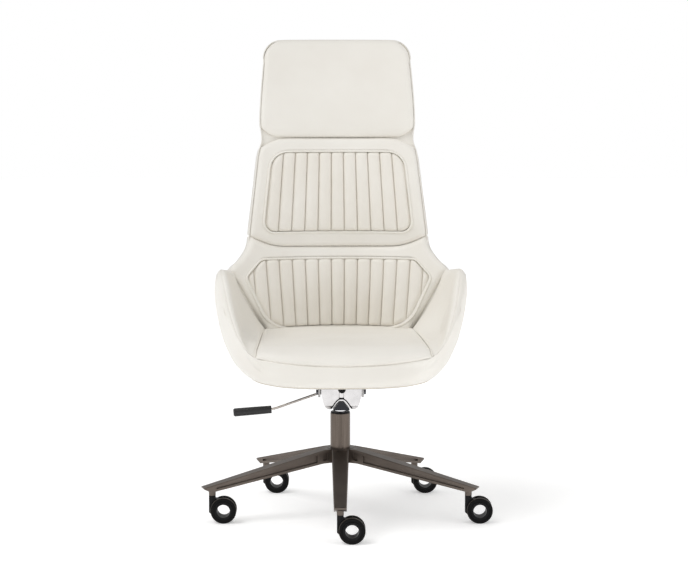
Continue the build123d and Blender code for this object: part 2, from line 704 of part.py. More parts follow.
with BuildPart() as back_frame:
    add(before([(560, 278, 0.00165)] + REAR, -24).part)
    add(before([(560, 278, 0.00165)] + REAR, -24 - FRAME_T).part, mode=Mode.SUBTRACT)
    with BuildSketch(Plane.XZ):
        with BuildLine():
            Polyline((-150, 562), (-170, 690), (-165, 905), (-150, 1150), (150, 1150), (165, 905), (170, 690), (150, 562), close=True)
        make_face()
    extrude(amount=500, both=True, mode=Mode.INTERSECT)
keep(back_frame.part, "back_frame")

with BuildPart() as bucket_frame:
    add(inner.part)
    add(rim_prism(14.4).part, mode=Mode.INTERSECT)
    add(inner2.part, mode=Mode.SUBTRACT)
    with GridLocations(150, 150, 2, 2):
        with Locations((0, 10, 360)):
            Cylinder(4.0, 60, align=(Align.CENTER, Align.CENTER, Align.MIN), mode=Mode.SUBTRACT)
    with Locations((0, 10, 300)):
        Box(182, 202, 72.05, align=(Align.CENTER, Align.CENTER, Align.MIN), mode=Mode.SUBTRACT)
keep(bucket_frame.part, "bucket_frame")

# ----------------------------------------------------------------- outer cover
with BuildPart() as shell:
    add(outer.part)
    add(inner2.part, mode=Mode.SUBTRACT)
    add(hollow.part, mode=Mode.SUBTRACT)
    with Locations((0, 10, 330)):
        Box(188, 208, 60, align=(Align.CENTER, Align.CENTER, Align.MIN), mode=Mode.SUBTRACT)

ARM_CUT_X = 205.0
with BuildPart() as front_apron:
    add(shell.part)
    with Locations((0, -400, 0)):
        Box(2 * ARM_CUT_X, 500, 800, align=(Align.CENTER, Align.CENTER, Align.MIN), mode=Mode.INTERSECT)
keep(front_apron.part, "front_apron")
with BuildPart() as lower_rear_cover:
    add(shell.part)
    with Locations((0, 100, 0)):
        Box(2 * ARM_CUT_X, 500, 800, align=(Align.CENTER, Align.CENTER, Align.MIN), mode=Mode.INTERSECT)
keep(lower_rear_cover.part, "lower_rear_cover")
for s, side_name in ((-1, "right"), (1, "left")):
    with BuildPart() as outer_side:
        add(shell.part)
        with Locations((s * (ARM_CUT_X + 200), 0, 0)):
            Box(400, 1200, 800, align=(Align.CENTER, Align.CENTER, Align.MIN), mode=Mode.INTERSECT)
    keep(outer_side.part, f"outer_side_{side_name}")

with BuildPart() as bottom_panel:
    rim = [(x, z) for x, z in mirrored(FRONT_HALF[:4])]
    with BuildSketch(Plane.XZ):
        with BuildLine():
            top = Spline(*[(x, z - 1.8) for x, z in rim])
            low = Spline(*[(x * 0.985, z - 5.6) for x, z in rim])
            Line(top @ 0, low @ 0)
            Line(top @ 1, low @ 1)
        make_face()
    extrude(amount=400, both=True)
    with BuildSketch(Plane.XY):
        with BuildLine():
            Spline(*mirrored([(0, -182), (90, -177), (138, -158), (160, -110), (165, -40), (162, 40), (150, 92), (112, 124), (0, 131)])[1:], periodic=True)
        make_face()
        with Locations((0, 10)):
            RectangleRounded(188, 208, 14, mode=Mode.SUBTRACT)
    extrude(amount=800, mode=Mode.INTERSECT)
keep(bottom_panel.part, "bottom_panel")

with BuildPart() as back_cover:
    add(upper_outline(0, SEAM1 + 0.2, HEAD_TOP + 5).part)
    add(before(REAR, 0).part, mode=Mode.INTERSECT)
    add(before(REAR, -SKIN).part, mode=Mode.SUBTRACT)
keep(back_cover.part, "back_cover")

# ----------------------------------------------------------------- cushions
with BuildPart() as seat_cushion:
    with BuildSketch(Plane.YZ):
        with BuildLine():
            top = Spline((-284.5, 414.5), (-281, 427), (-264, 440), (-225, 449), (-150, 454), (0, 454), (100, 450), (185, 446))
            Polyline(top @ 1, (185, 372.5), (-262, 372.5), (-284.5, 400), top @ 0)
        make_face()
    extrude(amount=260, both=True)
    with BuildSketch(Plane.XY):
        with BuildLine():
            Polyline((-216, -300), (-212, -246), (-183.5, CREASE_Y), (-176, 200), (176, 200), (183.5, CREASE_Y), (212, -246), (216, -300), close=True)
        make_face()
    extrude(amount=800, mode=Mode.INTERSECT)
    with BuildSketch(Plane.XY):
        with BuildLine():
            Spline(*mirrored([(x * 0.997, y * 0.997) for x, y in PLAN_HALF])[1:], periodic=True)
        make_face()
    extrude(amount=800, mode=Mode.INTERSECT)
    add(thick_shell.part, mode=Mode.SUBTRACT)
    add(lower_back_volume(-0.2).part, mode=Mode.SUBTRACT)
keep(main_solids(seat_cushion.part), "seat_cushion")

with BuildPart() as seat_zone:
    with BuildSketch(Plane.XY):
        with BuildLine():
            Polyline((-216.2, -300), (-212.2, -246), (-183.7, CREASE_Y), (-176, 400), (176, 400), (183.7, CREASE_Y), (212.2, -246), (216.2, -300), close=True)
        make_face()
    extrude(amount=800)

for s, side_name in ((-1, "right"), (1, "left")):
    with BuildPart() as arm_pad:
        add(padding.part)
        with Locations((s * 200, CREASE_Y - 0.1, 0)):
            Box(400, 900, 1600, align=(Align.CENTER, Align.MAX, Align.CENTER), mode=Mode.INTERSECT)
        add(seat_zone.part, mode=Mode.SUBTRACT)
        add(cavity.part, mode=Mode.SUBTRACT)
    keep(main_solids(arm_pad.part), f"arm_pad_{side_name}")

with BuildPart() as low_back_body:
    add(padding.part)
    add(low_back.part, mode=Mode.INTERSECT)
    add(back_frame.part, mode=Mode.SUBTRACT)
with BuildPart() as lower_back_panel:
    add(low_back_body.part)
    add(hex_prism.part, mode=Mode.INTERSECT)
    add(lower_back_volume(12).part, mode=Mode.SUBTRACT)
with BuildPart() as lower_back_piping:
    add(low_back_body.part)
    add(hex_piping.part, mode=Mode.INTERSECT)
    add(lower_back_volume(5).part, mode=Mode.SUBTRACT)


keep(main_solids(lower_back_panel.part), "lower_back_panel")
keep(main_solids(lower_back_piping.part), "lower_back_piping")
with BuildPart() as lower_back_cushion:
    add(low_back_body.part)
    add(lower_back_panel.part, mode=Mode.SUBTRACT)
    add(lower_back_piping.part, mode=Mode.SUBTRACT)
keep(main_solids(lower_back_cushion.part), "lower_back_cushion")

upper_front = behind(UPPER_FRONT, 0, 0.0007)
with BuildPart() as upper_back_body:
    add(upper_outline(0, SEAM1 + 0.2, SEAM2 - 0.2).part)
    add(upper_front.part, mode=Mode.INTERSECT)
    add(before(REAR, -SKIN).part, mode=Mode.INTERSECT)
    add(back_frame.part, mode=Mode.SUBTRACT)
with BuildPart() as upper_back_panel:
    add(upper_back_body.part)
    add(trap_prism.part, mode=Mode.INTERSECT)
    add(behind(UPPER_FRONT, 12, 0.0007).part, mode=Mode.SUBTRACT)
with BuildPart() as upper_back_piping:
    add(upper_back_body.part)
    add(trap_piping.part, mode=Mode.INTERSECT)
    add(behind(UPPER_FRONT, 5, 0.0007).part, mode=Mode.SUBTRACT)
keep(main_solids(upper_back_panel.part), "upper_back_panel")
keep(main_solids(upper_back_piping.part), "upper_back_piping")
with BuildPart() as upper_back_cushion:
    add(upper_back_body.part)
    add(upper_back_panel.part, mode=Mode.SUBTRACT)
    add(upper_back_piping.part, mode=Mode.SUBTRACT)
keep(main_solids(upper_back_cushion.part), "upper_back_cushion")

with BuildPart() as headrest_cushion:
    add(upper_outline(0, SEAM2 + 0.2, HEAD_TOP + 5).part)
    add(behind(HEAD_FRONT, 0, 0.0004).part, mode=Mode.INTERSECT)
    add(before(REAR, -SKIN).part, mode=Mode.INTERSECT)
    add(back_frame.part, mode=Mode.SUBTRACT)
keep(main_solids(headrest_cushion.part), "headrest_cushion")

print(len(NAMES), "nodes")
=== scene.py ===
"""High-back swivel office chair: the visual model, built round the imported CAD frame."""

import math

import bmesh
import bpy
import numpy as np
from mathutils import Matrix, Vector, noise


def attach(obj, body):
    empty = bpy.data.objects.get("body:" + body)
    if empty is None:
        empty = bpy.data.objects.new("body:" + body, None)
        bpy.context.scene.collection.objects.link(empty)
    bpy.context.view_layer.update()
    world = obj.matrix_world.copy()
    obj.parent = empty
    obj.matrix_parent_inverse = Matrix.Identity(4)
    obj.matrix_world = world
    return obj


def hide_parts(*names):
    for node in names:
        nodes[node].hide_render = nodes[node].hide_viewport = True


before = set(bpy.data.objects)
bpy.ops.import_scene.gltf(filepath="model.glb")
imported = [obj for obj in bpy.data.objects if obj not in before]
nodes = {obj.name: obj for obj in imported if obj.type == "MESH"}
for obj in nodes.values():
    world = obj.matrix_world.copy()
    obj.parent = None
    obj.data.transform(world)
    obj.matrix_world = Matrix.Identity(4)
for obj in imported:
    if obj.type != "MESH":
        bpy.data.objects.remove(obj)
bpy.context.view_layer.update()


# ------------------------------------------------------------------ curves
def hermite(ts, ys, t):
    """Smooth interpolation of ys (any width) at ts, without the overshoot of a free spline."""
    ts, ys, t = np.asarray(ts, float), np.asarray(ys, float), np.asarray(t, float)
    flat = ys.ndim == 1
    if flat:
        ys = ys[:, None]
    h = np.diff(ts)
    s = np.diff(ys, axis=0) / h[:, None]
    m = np.zeros_like(ys)
    m[0], m[-1] = s[0], s[-1]
    for i in range(1, len(ts) - 1):
        m[i] = (s[i - 1] * h[i] + s[i] * h[i - 1]) / (h[i - 1] + h[i])
    k = np.clip(np.searchsorted(ts, t, side="right") - 1, 0, len(ts) - 2)
    x = ((t - ts[k]) / h[k])[..., None]
    x = np.clip(x, 0.0, 1.0)
    hk = h[k][..., None]
    r = (
        (2 * x**3 - 3 * x**2 + 1) * ys[k]
        + (x**3 - 2 * x**2 + x) * hk * m[k]
        + (-2 * x**3 + 3 * x**2) * ys[k + 1]
        + (x**3 - x**2) * hk * m[k + 1]
    )
    return r[..., 0] if flat else r


def run(points, t):
    """A smooth 3-D or 2-D curve through points, read at t from 0 to 1 along its length."""
    p = np.asarray(points, float)
    d = np.r_[0, np.cumsum(np.linalg.norm(np.diff(p, axis=0), axis=1))]
    return hermite(d / d[-1], p, t)


def table_of(rows):
    z = [r[0] for r in rows]
    return lambda q, c=1: hermite(z, [r[c] for r in rows], q)


def spread(n, ease=0.6):
    """0 to 1 in n steps, closer together at both ends."""
    s = np.linspace(0, 1, n + 1)
    return (1 - ease) * s + ease * (0.5 - 0.5 * np.cos(np.pi * s))


def to_line(P, line):
    """Distance of every point of P to a polyline."""
    A, B = line[:-1], line[1:]
    Q = P.reshape(-1, P.shape[-1])
    best = np.full(len(Q), 1e9)
    for a, b in zip(A, B):
        ab = b - a
        L = float(ab @ ab)
        if L < 1e-14:
            continue
        t = np.clip(((Q - a) @ ab) / L, 0, 1)
        d = np.linalg.norm(Q - (a + t[:, None] * ab), axis=1)
        best = np.minimum(best, d)
    return best.reshape(P.shape[:-1])


def dome(d, r):
    """0 at a seam, 1 at r and beyond, leaving the seam steeply, as stuffed leather does."""
    t = 1 - np.clip(d / r, 0, 1)
    return np.sqrt(np.clip(1 - t * t, 0, 1))


def swell(P, amount, scale, seed):
    """A slow, slight unevenness, so that no surface is machine-perfect."""
    out = np.zeros(P.shape[:-1])
    it = np.ndindex(*out.shape)
    for i in it:
        p = P[i]
        out[i] = noise.noise(Vector((p[0] * scale + seed, p[1] * scale, p[2] * scale)))
    return out * amount


# ------------------------------------------------------------------ meshes
def mesh_object(name, verts, faces, smooth=True, merge=1e-5):
    me = bpy.data.meshes.new(name)
    me.from_pydata([tuple(map(float, v)) for v in verts], [], [tuple(f) for f in faces])
    bm = bmesh.new()
    bm.from_mesh(me)
    bmesh.ops.remove_doubles(bm, verts=bm.verts, dist=merge)
    bmesh.ops.dissolve_degenerate(bm, dist=1e-7, edges=bm.edges)
    bmesh.ops.recalc_face_normals(bm, faces=bm.faces)
    bm.to_mesh(me)
    bm.free()
    for p in me.polygons:
        p.use_smooth = smooth
    o = bpy.data.objects.new(name, me)
    bpy.context.scene.collection.objects.link(o)
    return o


def grid_normals(P):
    du = np.gradient(P, axis=0)
    dv = np.gradient(P, axis=1)
    n = np.cross(du, dv)
    L = np.linalg.norm(n, axis=-1, keepdims=True)
    n = n / np.where(L < 1e-12, 1, L)
    # borrow a neighbour's normal where an edge has collapsed to a point
    bad = L[..., 0] < 1e-10
    for _ in range(4):
        if not bad.any():
            break
        for ax, sh in ((0, 1), (0, -1), (1, 1), (1, -1)):
            m = np.roll(n, sh, ax)
            ok = bad & ~np.roll(bad, sh, ax)
            n[ok] = m[ok]
            bad = bad & ~ok
    return n


def pad(name, base, seams, toward, thick=0.02, puff=0.01, extra=None, uneven=0.0008, seed=0.0, shrink=0.0):
    """A closed pad over a grid: the grid's edges are seams, its face swells towards `toward`, and its back is `thick` behind.
    seams is a list of (line, radius, floor): the face comes down to `floor` of its swell at that line."""
    n = grid_normals(base)
    if (n.reshape(-1, 3).mean(0) @ np.asarray(toward, float)) < 0:
        n = -n
    h = np.ones(base.shape[:2])
    for line, radius, low in seams:
        f = dome(to_line(base, np.asarray(line, float)), radius)
        h = h * (low + (1 - low) * f)
    lift = puff * h
    if uneven:
        lift = lift + swell(base, uneven, 9.0, seed) * h
    if extra is not None:
        lift = lift + extra * h
    face = base + n * lift[..., None]
    back = base - n * thick
    if shrink:
        c = base.reshape(-1, 3).mean(0)
        back = c + (back - c) * (1 - shrink)
    return closed(name, face, back)


def closed(name, face, back):
    a, b = face.shape[:2]
    verts = np.concatenate([face.reshape(-1, 3), back.reshape(-1, 3)])
    off = a * b
    faces = []
    for i in range(a - 1):
        for j in range(b - 1):
            k = i * b + j
            faces.append((k, k + 1, k + b + 1, k + b))
            faces.append((off + k, off + k + b, off + k + b + 1, off + k + 1))
    edge = [(i, 0) for i in range(a)] + [(a - 1, j) for j in range(1, b)] + [(i, b - 1) for i in range(a - 2, -1, -1)] + [(0, j) for j in range(b - 2, 0, -1)]
    ids = [i * b + j for i, j in edge]
    for p, q in zip(ids, ids[1:] + ids[:1]):
        faces.append((p, q, off + q, off + p))
    return mesh_object(name, verts, faces)


def tube(name, path, radius, sides=10, loop=False):
    """A round welt along a path; radius may vary along it. Its ends are closed."""
    p = np.asarray(path, float)
    m = len(p)
    r = np.broadcast_to(np.asarray(radius, float), (m,))
    if loop:
        t = np.roll(p, -1, 0) - np.roll(p, 1, 0)
    else:
        t = np.gradient(p, axis=0)
    t /= np.linalg.norm(t, axis=1, keepdims=True)
    ref = np.array([0.0, -1.0, 0.0])
    verts = []
    for k in range(m):
        a = ref - (ref @ t[k]) * t[k]
        if np.linalg.norm(a) < 1e-3:
            a = np.cross(t[k], [0, 0, 1.0])
        a /= np.linalg.norm(a)
        b = np.cross(t[k], a)
        ref = a
        for s in range(sides):
            w = 2 * math.pi * s / sides
            verts.append(p[k] + r[k] * (math.cos(w) * a + math.sin(w) * b))
    faces = []
    for k in range(m if loop else m - 1):
        k2 = (k + 1) % m
        for s in range(sides):
            s2 = (s + 1) % sides
            faces.append((k * sides + s, k * sides + s2, k2 * sides + s2, k2 * sides + s))
    if not loop:
        faces.append(tuple(range(sides))[::-1])
        faces.append(tuple((m - 1) * sides + s for s in range(sides)))
    return mesh_object(name, verts, faces, merge=1e-7)


def rings(name, loops, close=True):
    """A closed skin over a run of equal loops that ends where it began."""
    L = np.asarray(loops, float)
    a, b = L.shape[:2]
    faces = []
    for i in range(a if close else a - 1):
        i2 = (i + 1) % a
        for j in range(b):
            j2 = (j + 1) % b
            faces.append((i * b + j, i * b + j2, i2 * b + j2, i2 * b + j))
    return mesh_object(name, L.reshape(-1, 3), faces)


def coons(bottom, top, left, right, u, v):
    """A grid filling four curves. Each is a function of 0 to 1; left and right run from bottom to top."""
    B, T, Lf, R = bottom(u), top(u), left(v), right(v)
    U, V = u[:, None, None], v[None, :, None]
    ruled = (1 - V) * B[:, None, :] + V * T[:, None, :]
    sides = (1 - U) * Lf[None] + U * R[None]
    corner = (1 - U) * (1 - V) * B[0] + U * (1 - V) * B[-1] + (1 - U) * V * T[0] + U * V * T[-1]
    return ruled + sides - corner


def mirror_x(P):
    Q = np.array(P, float)
    Q[..., 0] *= -1
    return Q


# ------------------------------------------------------------------ the chair's surfaces, metres, row frame
LOW = table_of([(0.43, 0.174, 0.105, 0.172), (0.447, 0.172, 0.105, 0.179), (0.50, 0.166, 0.105, 0.211), (0.56, 0.165, 0.105, 0.247), (0.61, 0.173, 0.107, 0.278), (0.659, 0.190, 0.112, 0.300), (0.70, 0.197, 0.118, 0.310)])
UP = table_of([(0.64, 0.193), (0.659, 0.191), (0.70, 0.187), (0.75, 0.188), (0.81, 0.196), (0.87, 0.207), (0.9356, 0.221), (0.97, 0.229)])
HEAD = table_of([(0.90, 0.222), (0.9356, 0.220), (1.0, 0.219), (1.06, 0.226), (1.12, 0.241), (1.16, 0.256), (1.19, 0.272)])
REAR = table_of([(0.64, 0.284, 1.62), (0.70, 0.287, 1.6), (0.79, 0.292, 1.6), (0.88, 0.301, 1.55), (0.9356, 0.308, 1.5), (1.0, 0.315, 1.5), (1.06, 0.321, 1.45), (1.12, 0.325, 1.4), (1.16, 0.324, 1.4), (1.20, 0.314, 1.3)])


def f_low(x, z):
    yc, ycr, xc = LOW(z, 1), LOW(z, 2), LOW(z, 3)
    return yc - (yc - ycr) * np.clip(np.abs(x) / xc, 0, 1.06) ** 2


def f_up(x, z):
    return UP(z) - 0.70 * x * x


def f_head(x, z):
    return HEAD(z) - 0.42 * x * x


def g_rear(x, z):
    return REAR(z, 1) - REAR(z, 2) * x * x


def lifted(xz, f, d=0.0):
    """Gives a grid of (x, z) its depth."""
    x, z = xz[..., 0], xz[..., 1]
    return np.stack([x, f(x, z) + d, z], -1)


# ------------------------------------------------------------------ materials
def lin(c):
    return tuple((v / 12.92 if v <= 0.04045 else ((v + 0.055) / 1.055) ** 2.4) for v in (c[0] / 255, c[1] / 255, c[2] / 255))


def material(name):
    m = bpy.data.materials.new(name)
    m.use_nodes = True
    nt = m.node_tree
    for n in list(nt.nodes):
        nt.nodes.remove(n)
    out = nt.nodes.new("ShaderNodeOutputMaterial")
    bsdf = nt.nodes.new("ShaderNodeBsdfPrincipled")
    nt.links.new(bsdf.outputs[0], out.inputs[0])
    coord = nt.nodes.new("ShaderNodeTexCoord")
    return m, nt, bsdf, coord.outputs["Object"]


def noise_node(nt, coord, scale, detail=3.0, rough=0.55, stretch=None):
    n = nt.nodes.new("ShaderNodeTexNoise")
    n.inputs["Scale"].default_value = scale
    n.inputs["Detail"].default_value = detail
    n.inputs["Roughness"].default_value = rough
    if stretch:
        mp = nt.nodes.new("ShaderNodeMapping")
        mp.inputs["Scale"].default_value = stretch
        nt.links.new(coord, mp.inputs["Vector"])
        coord = mp.outputs[0]
    nt.links.new(coord, n.inputs["Vector"])
    return n.outputs[0]


def ramp(nt, fac, stops):
    r = nt.nodes.new("ShaderNodeValToRGB")
    while len(r.color_ramp.elements) < len(stops):
        r.color_ramp.elements.new(0.5)
    for e, (p, c) in zip(r.color_ramp.elements, stops):
        e.position = p
        e.color = (*c, 1.0) if len(c) == 3 else c
    nt.links.new(fac, r.inputs[0])
    return r.outputs[0]


def span(nt, fac, a, b, lo=0.3, hi=0.7):
    r = nt.nodes.new("ShaderNodeMapRange")
    r.inputs["From Min"].default_value = lo
    r.inputs["From Max"].default_value = hi
    r.inputs["To Min"].default_value = a
    r.inputs["To Max"].default_value = b
    nt.links.new(fac, r.inputs["Value"])
    return r.outputs[0]


def bump(nt, bsdf, height, strength, distance):
    b = nt.nodes.new("ShaderNodeBump")
    b.inputs["Strength"].default_value = strength
    b.inputs["Distance"].default_value = distance
    nt.links.new(height, b.inputs["Height"])
    old = bsdf.inputs["Normal"].links
    if old:
        nt.links.new(old[0].from_socket, b.inputs["Normal"])
    nt.links.new(b.outputs[0], bsdf.inputs["Normal"])


def leather(name, light, dark, rough=(0.42, 0.54), grain=0.30):
    m, nt, bsdf, co = material(name)
    tone = noise_node(nt, co, 5.5, 3.0)
    nt.links.new(ramp(nt, tone, [(0.30, dark), (0.70, light)]), bsdf.inputs["Base Color"])
    v = nt.nodes.new("ShaderNodeTexVoronoi")
    v.feature = "DISTANCE_TO_EDGE"
    v.inputs["Scale"].default_value = 420.0
    wobble = nt.nodes.new("ShaderNodeVectorMath")
    wobble.operation = "ADD"
    warp = nt.nodes.new("ShaderNodeTexNoise")
    warp.inputs["Scale"].default_value = 160.0
    small = nt.nodes.new("ShaderNodeVectorMath")
    small.operation = "SCALE"
    small.inputs["Scale"].default_value = 0.0016
    nt.links.new(co, warp.inputs["Vector"])
    nt.links.new(warp.outputs["Color"], small.inputs[0])
    nt.links.new(co, wobble.inputs[0])
    nt.links.new(small.outputs[0], wobble.inputs[1])
    nt.links.new(wobble.outputs[0], v.inputs["Vector"])
    creases = span(nt, v.outputs["Distance"], 0.0, 1.0, 0.0, 0.22)
    bump(nt, bsdf, creases, grain, 0.0004)
    bump(nt, bsdf, noise_node(nt, co, 900.0, 2.0), 0.12, 0.0002)
    bump(nt, bsdf, noise_node(nt, co, 26.0, 3.0), 0.10, 0.0022)
    nt.links.new(span(nt, noise_node(nt, co, 60.0, 3.0), rough[0], rough[1]), bsdf.inputs["Roughness"])
    bsdf.inputs["Specular IOR Level"].default_value = 0.38
    bsdf.inputs["Sheen Weight"].default_value = 0.06
    bsdf.inputs["Sheen Roughness"].default_value = 0.4
    bsdf.inputs["Subsurface Weight"].default_value = 0.0
    return m


def metal(name, light, dark, rough, brushed=None, bump_amount=0.05, tone=30.0, metallic=1.0, coat=0.0):
    m, nt, bsdf, co = material(name)
    src = noise_node(nt, co, tone, 4.0, 0.6, brushed)
    nt.links.new(ramp(nt, src, [(0.32, dark), (0.68, light)]), bsdf.inputs["Base Color"])
    nt.links.new(span(nt, noise_node(nt, co, tone * 1.7, 3.0, 0.5, brushed), rough[0], rough[1]), bsdf.inputs["Roughness"])
    bsdf.inputs["Metallic"].default_value = metallic
    if coat:
        bsdf.inputs["Coat Weight"].default_value = coat
        bsdf.inputs["Coat Roughness"].default_value = 0.18
    bump(nt, bsdf, noise_node(nt, co, 350.0 if brushed is None else tone, 3.0, 0.5, brushed), bump_amount, 0.0003)
    return m


def plastic(name, light, dark, rough, grain=0.25, scale=700.0, shine=0.5):
    m, nt, bsdf, co = material(name)
    nt.links.new(ramp(nt, noise_node(nt, co, 40.0, 4.0), [(0.3, dark), (0.7, light)]), bsdf.inputs["Base Color"])
    nt.links.new(span(nt, noise_node(nt, co, 90.0, 3.0), rough[0], rough[1]), bsdf.inputs["Roughness"])
    bsdf.inputs["Specular IOR Level"].default_value = shine
    bump(nt, bsdf, noise_node(nt, co, scale, 2.0), grain, 0.0003)
    return m


CREAM = leather("cream_leather", lin((243, 240, 233)), lin((238, 234, 226)))
CREAM_BACK = leather("cream_leather_cover", lin((242, 239, 232)), lin((236, 232, 224)))
CREAM_PANEL = leather("cream_leather_panel", lin((241, 237, 229)), lin((235, 230, 220)), rough=(0.40, 0.50))
WELT = leather("cream_welt", lin((243, 240, 233)), lin((236, 232, 222)), rough=(0.36, 0.46), grain=0.2)
EDGE_WELT = leather("cream_edge_welt", lin((222, 215, 202)), lin((208, 200, 185)), rough=(0.40, 0.50), grain=0.2)
BRONZE = metal("bronze_casting", lin((112, 103, 96)), lin((102, 93, 86)), (0.34, 0.42), tone=9.0, metallic=0.86, bump_amount=0.006)
BRONZE_TUBE = metal("bronze_brushed_tube", lin((118, 108, 100)), lin((98, 89, 82)), (0.26, 0.36), brushed=(1.0, 1.0, 0.02), tone=420.0, bump_amount=0.10)
CHROME = metal("chrome", lin((236, 236, 238)), lin((224, 224, 227)), (0.04, 0.09), bump_amount=0.01)
POLISHED = metal("polished_casting", lin((230, 228, 228)), lin((208, 206, 206)), (0.10, 0.20), tone=24.0, bump_amount=0.05)
SILVER = metal("silver_powder_coat", lin((206, 204, 203)), lin((190, 188, 187)), (0.38, 0.5), tone=50.0, metallic=0.35, bump_amount=0.08)
STEEL = metal("oiled_spring_steel", lin((120, 120, 124)), lin((86, 86, 90)), (0.28, 0.42), tone=60.0)
WIRE = metal("satin_lever_wire", lin((214, 207, 201)), lin((190, 182, 175)), (0.24, 0.34), tone=80.0, metallic=0.8)
NYLON = plastic("black_nylon", (0.0085, 0.0085, 0.009), (0.0055, 0.0055, 0.006), (0.36, 0.48), 0.15, 900.0, shine=0.15)
GRIP = plastic("black_lever_grip", (0.018, 0.017, 0.018), (0.011, 0.011, 0.012), (0.34, 0.46), 0.3, 1100.0)
LINING = plastic("black_dust_cover", (0.030, 0.030, 0.032), (0.018, 0.018, 0.020), (0.85, 0.95), 0.6, 1500.0)
WOOD = plastic("bent_plywood", lin((176, 140, 98)), lin((150, 114, 76)), (0.5, 0.65), 0.3, 200.0)


def tyre_material():
    """Black wheel whose rolling face is a pale taupe."""
    m, nt, bsdf, co = material("caster_wheel")
    own = next(n for n in nt.nodes if n.type == "TEX_COORD")
    sep = nt.nodes.new("ShaderNodeSeparateXYZ")
    nt.links.new(own.outputs["Normal"], sep.inputs[0])
    side = nt.nodes.new("ShaderNodeMath")
    side.operation = "ABSOLUTE"
    nt.links.new(sep.outputs["Y"], side.inputs[0])
    # faces pointing along the axle are near-black, the rolling face pale taupe
    tread_tone = ramp(nt, side.outputs[0], [(0.30, lin((74, 68, 63))), (0.62, lin((8, 8, 8)))])
    grit = ramp(nt, noise_node(nt, co, 70.0, 5.0), [(0.35, (0.82, 0.82, 0.82)), (0.7, (1.0, 1.0, 1.0))])
    mix = nt.nodes.new("ShaderNodeMix")
    mix.data_type = "RGBA"
    mix.blend_type = "MULTIPLY"
    mix.inputs["Factor"].default_value = 1.0
    nt.links.new(tread_tone, mix.inputs["A"])
    nt.links.new(grit, mix.inputs["B"])
    nt.links.new(mix.outputs["Result"], bsdf.inputs["Base Color"])
    bsdf.inputs["Specular IOR Level"].default_value = 0.14
    nt.links.new(span(nt, noise_node(nt, co, 90.0, 3.0), 0.38, 0.52), bsdf.inputs["Roughness"])
    bump(nt, bsdf, noise_node(nt, co, 800.0, 2.0), 0.2, 0.0003)
    return m


TYRE = tyre_material()


def casting_material():
    """Polished lobes, with a painted dark reflection on the dome over the cylinder and its arch."""
    m = POLISHED.copy()
    m.name = "polished_casting_painted_dark_reflection"
    nt = m.node_tree
    bsdf = next(n for n in nt.nodes if n.type == "BSDF_PRINCIPLED")
    co = next(n for n in nt.nodes if n.type == "TEX_COORD").outputs["Object"]
    sep = nt.nodes.new("ShaderNodeSeparateXYZ")
    nt.links.new(co, sep.inputs[0])

    def calc(op, a, b):
        n = nt.nodes.new("ShaderNodeMath")
        n.operation = op
        for s, v in zip(n.inputs, (a, b)):
            if isinstance(v, (int, float)):
                s.default_value = v
            elif v is not None:
                nt.links.new(v, s)
        return n.outputs[0]

    # mask for the painted dark reflection: the dome over the cylinder, inside the arch
    ax = calc("ABSOLUTE", sep.outputs["X"], None)
    edge = calc("SUBTRACT", 0.0222 + 0.76 * 0.2772, calc("MULTIPLY", sep.outputs["Z"], 0.76))
    in_dome = calc("MULTIPLY", calc("LESS_THAN", ax, edge), calc("GREATER_THAN", sep.outputs["Z"], 0.2745))
    dark = calc("MULTIPLY", in_dome, calc("LESS_THAN", sep.outputs["Z"], 0.2985))
    old = bsdf.inputs["Base Color"].links[0].from_socket
    mix = nt.nodes.new("ShaderNodeMix")
    mix.data_type = "RGBA"
    nt.links.new(dark, mix.inputs["Factor"])
    nt.links.new(old, mix.inputs["A"])
    # near-black colour of the painted dark reflection on the dome
    mix.inputs["B"].default_value = (0.035, 0.036, 0.040, 1)
    nt.links.new(mix.outputs["Result"], bsdf.inputs["Base Color"])
    return m





CASTING = casting_material()


def dress(obj, mat):
    obj.data.materials.clear()
    obj.data.materials.append(mat)
    return obj


def soft(obj, mat, replaced=(), body="seat"):
    dress(obj, mat)
    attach(obj, body)
    if replaced:
        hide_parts(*replaced)
    return obj


def trim(obj, mat, replaced=(), body="seat"):
    dress(obj, mat)
    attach(obj, body)
    if replaced:
        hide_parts(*replaced)
    return obj


# ------------------------------------------------------------------ outlines of the back, (x, z)
SIDE = [
    (0.2305, 0.655), (0.2295, 0.688), (0.2240, 0.74), (0.2170, 0.80), (0.2100, 0.86), (0.2058, 0.893), (0.2035, 0.905), (0.1990, 0.917), (0.1958, 0.930),
    (0.1958, 0.943), (0.1988, 0.956), (0.2004, 0.970), (0.2000, 1.00), (0.1970, 1.05), (0.1928, 1.10), (0.1902, 1.130),
]


def side_x(z):
    return hermite([p[1] for p in SIDE], [p[0] for p in SIDE], z)


def corner_arc(cx, cz, r, a0, a1, n=14):
    a = np.radians(np.linspace(a0, a1, n))
    return [(cx + r * math.cos(t), cz + r * math.sin(t)) for t in a]


def symmetric(right_half):
    """A curve from x<0 to x>0 from its right half, centre first."""
    p = np.asarray(right_half, float)
    return np.concatenate([mirror_x(p[::-1])[:-1], p]) if abs(p[0, 0]) < 1e-9 else np.concatenate([mirror_x(p[::-1]), p])


EDGE_IN = 0.0030
# seam between the lower and upper back, centre outwards
SEAM_LOW = [(0.0, 0.6585), (0.06, 0.6585), (0.12, 0.6588), (0.148, 0.6596), (0.166, 0.6622), (0.185, 0.668), (0.205, 0.6765), (0.2265, 0.688)]
# the headrest's lower edge and the upper back's top edge part towards the sides
SEAM_HEAD = [(0.0, 0.9370), (0.08, 0.9370), (0.140, 0.9372), (0.157, 0.9382), (0.170, 0.9425), (0.184, 0.9510), (0.1990, 0.9640)]
SEAM_TOP = [(0.0, 0.9345), (0.08, 0.9345), (0.140, 0.9342), (0.152, 0.9330), (0.166, 0.9285), (0.186, 0.9200), (0.2005, 0.9115)]
HEAD_R = 0.047
HEAD_TOP = [(0.0, 1.1856), (0.08, 1.1854), (0.13, 1.1842)]


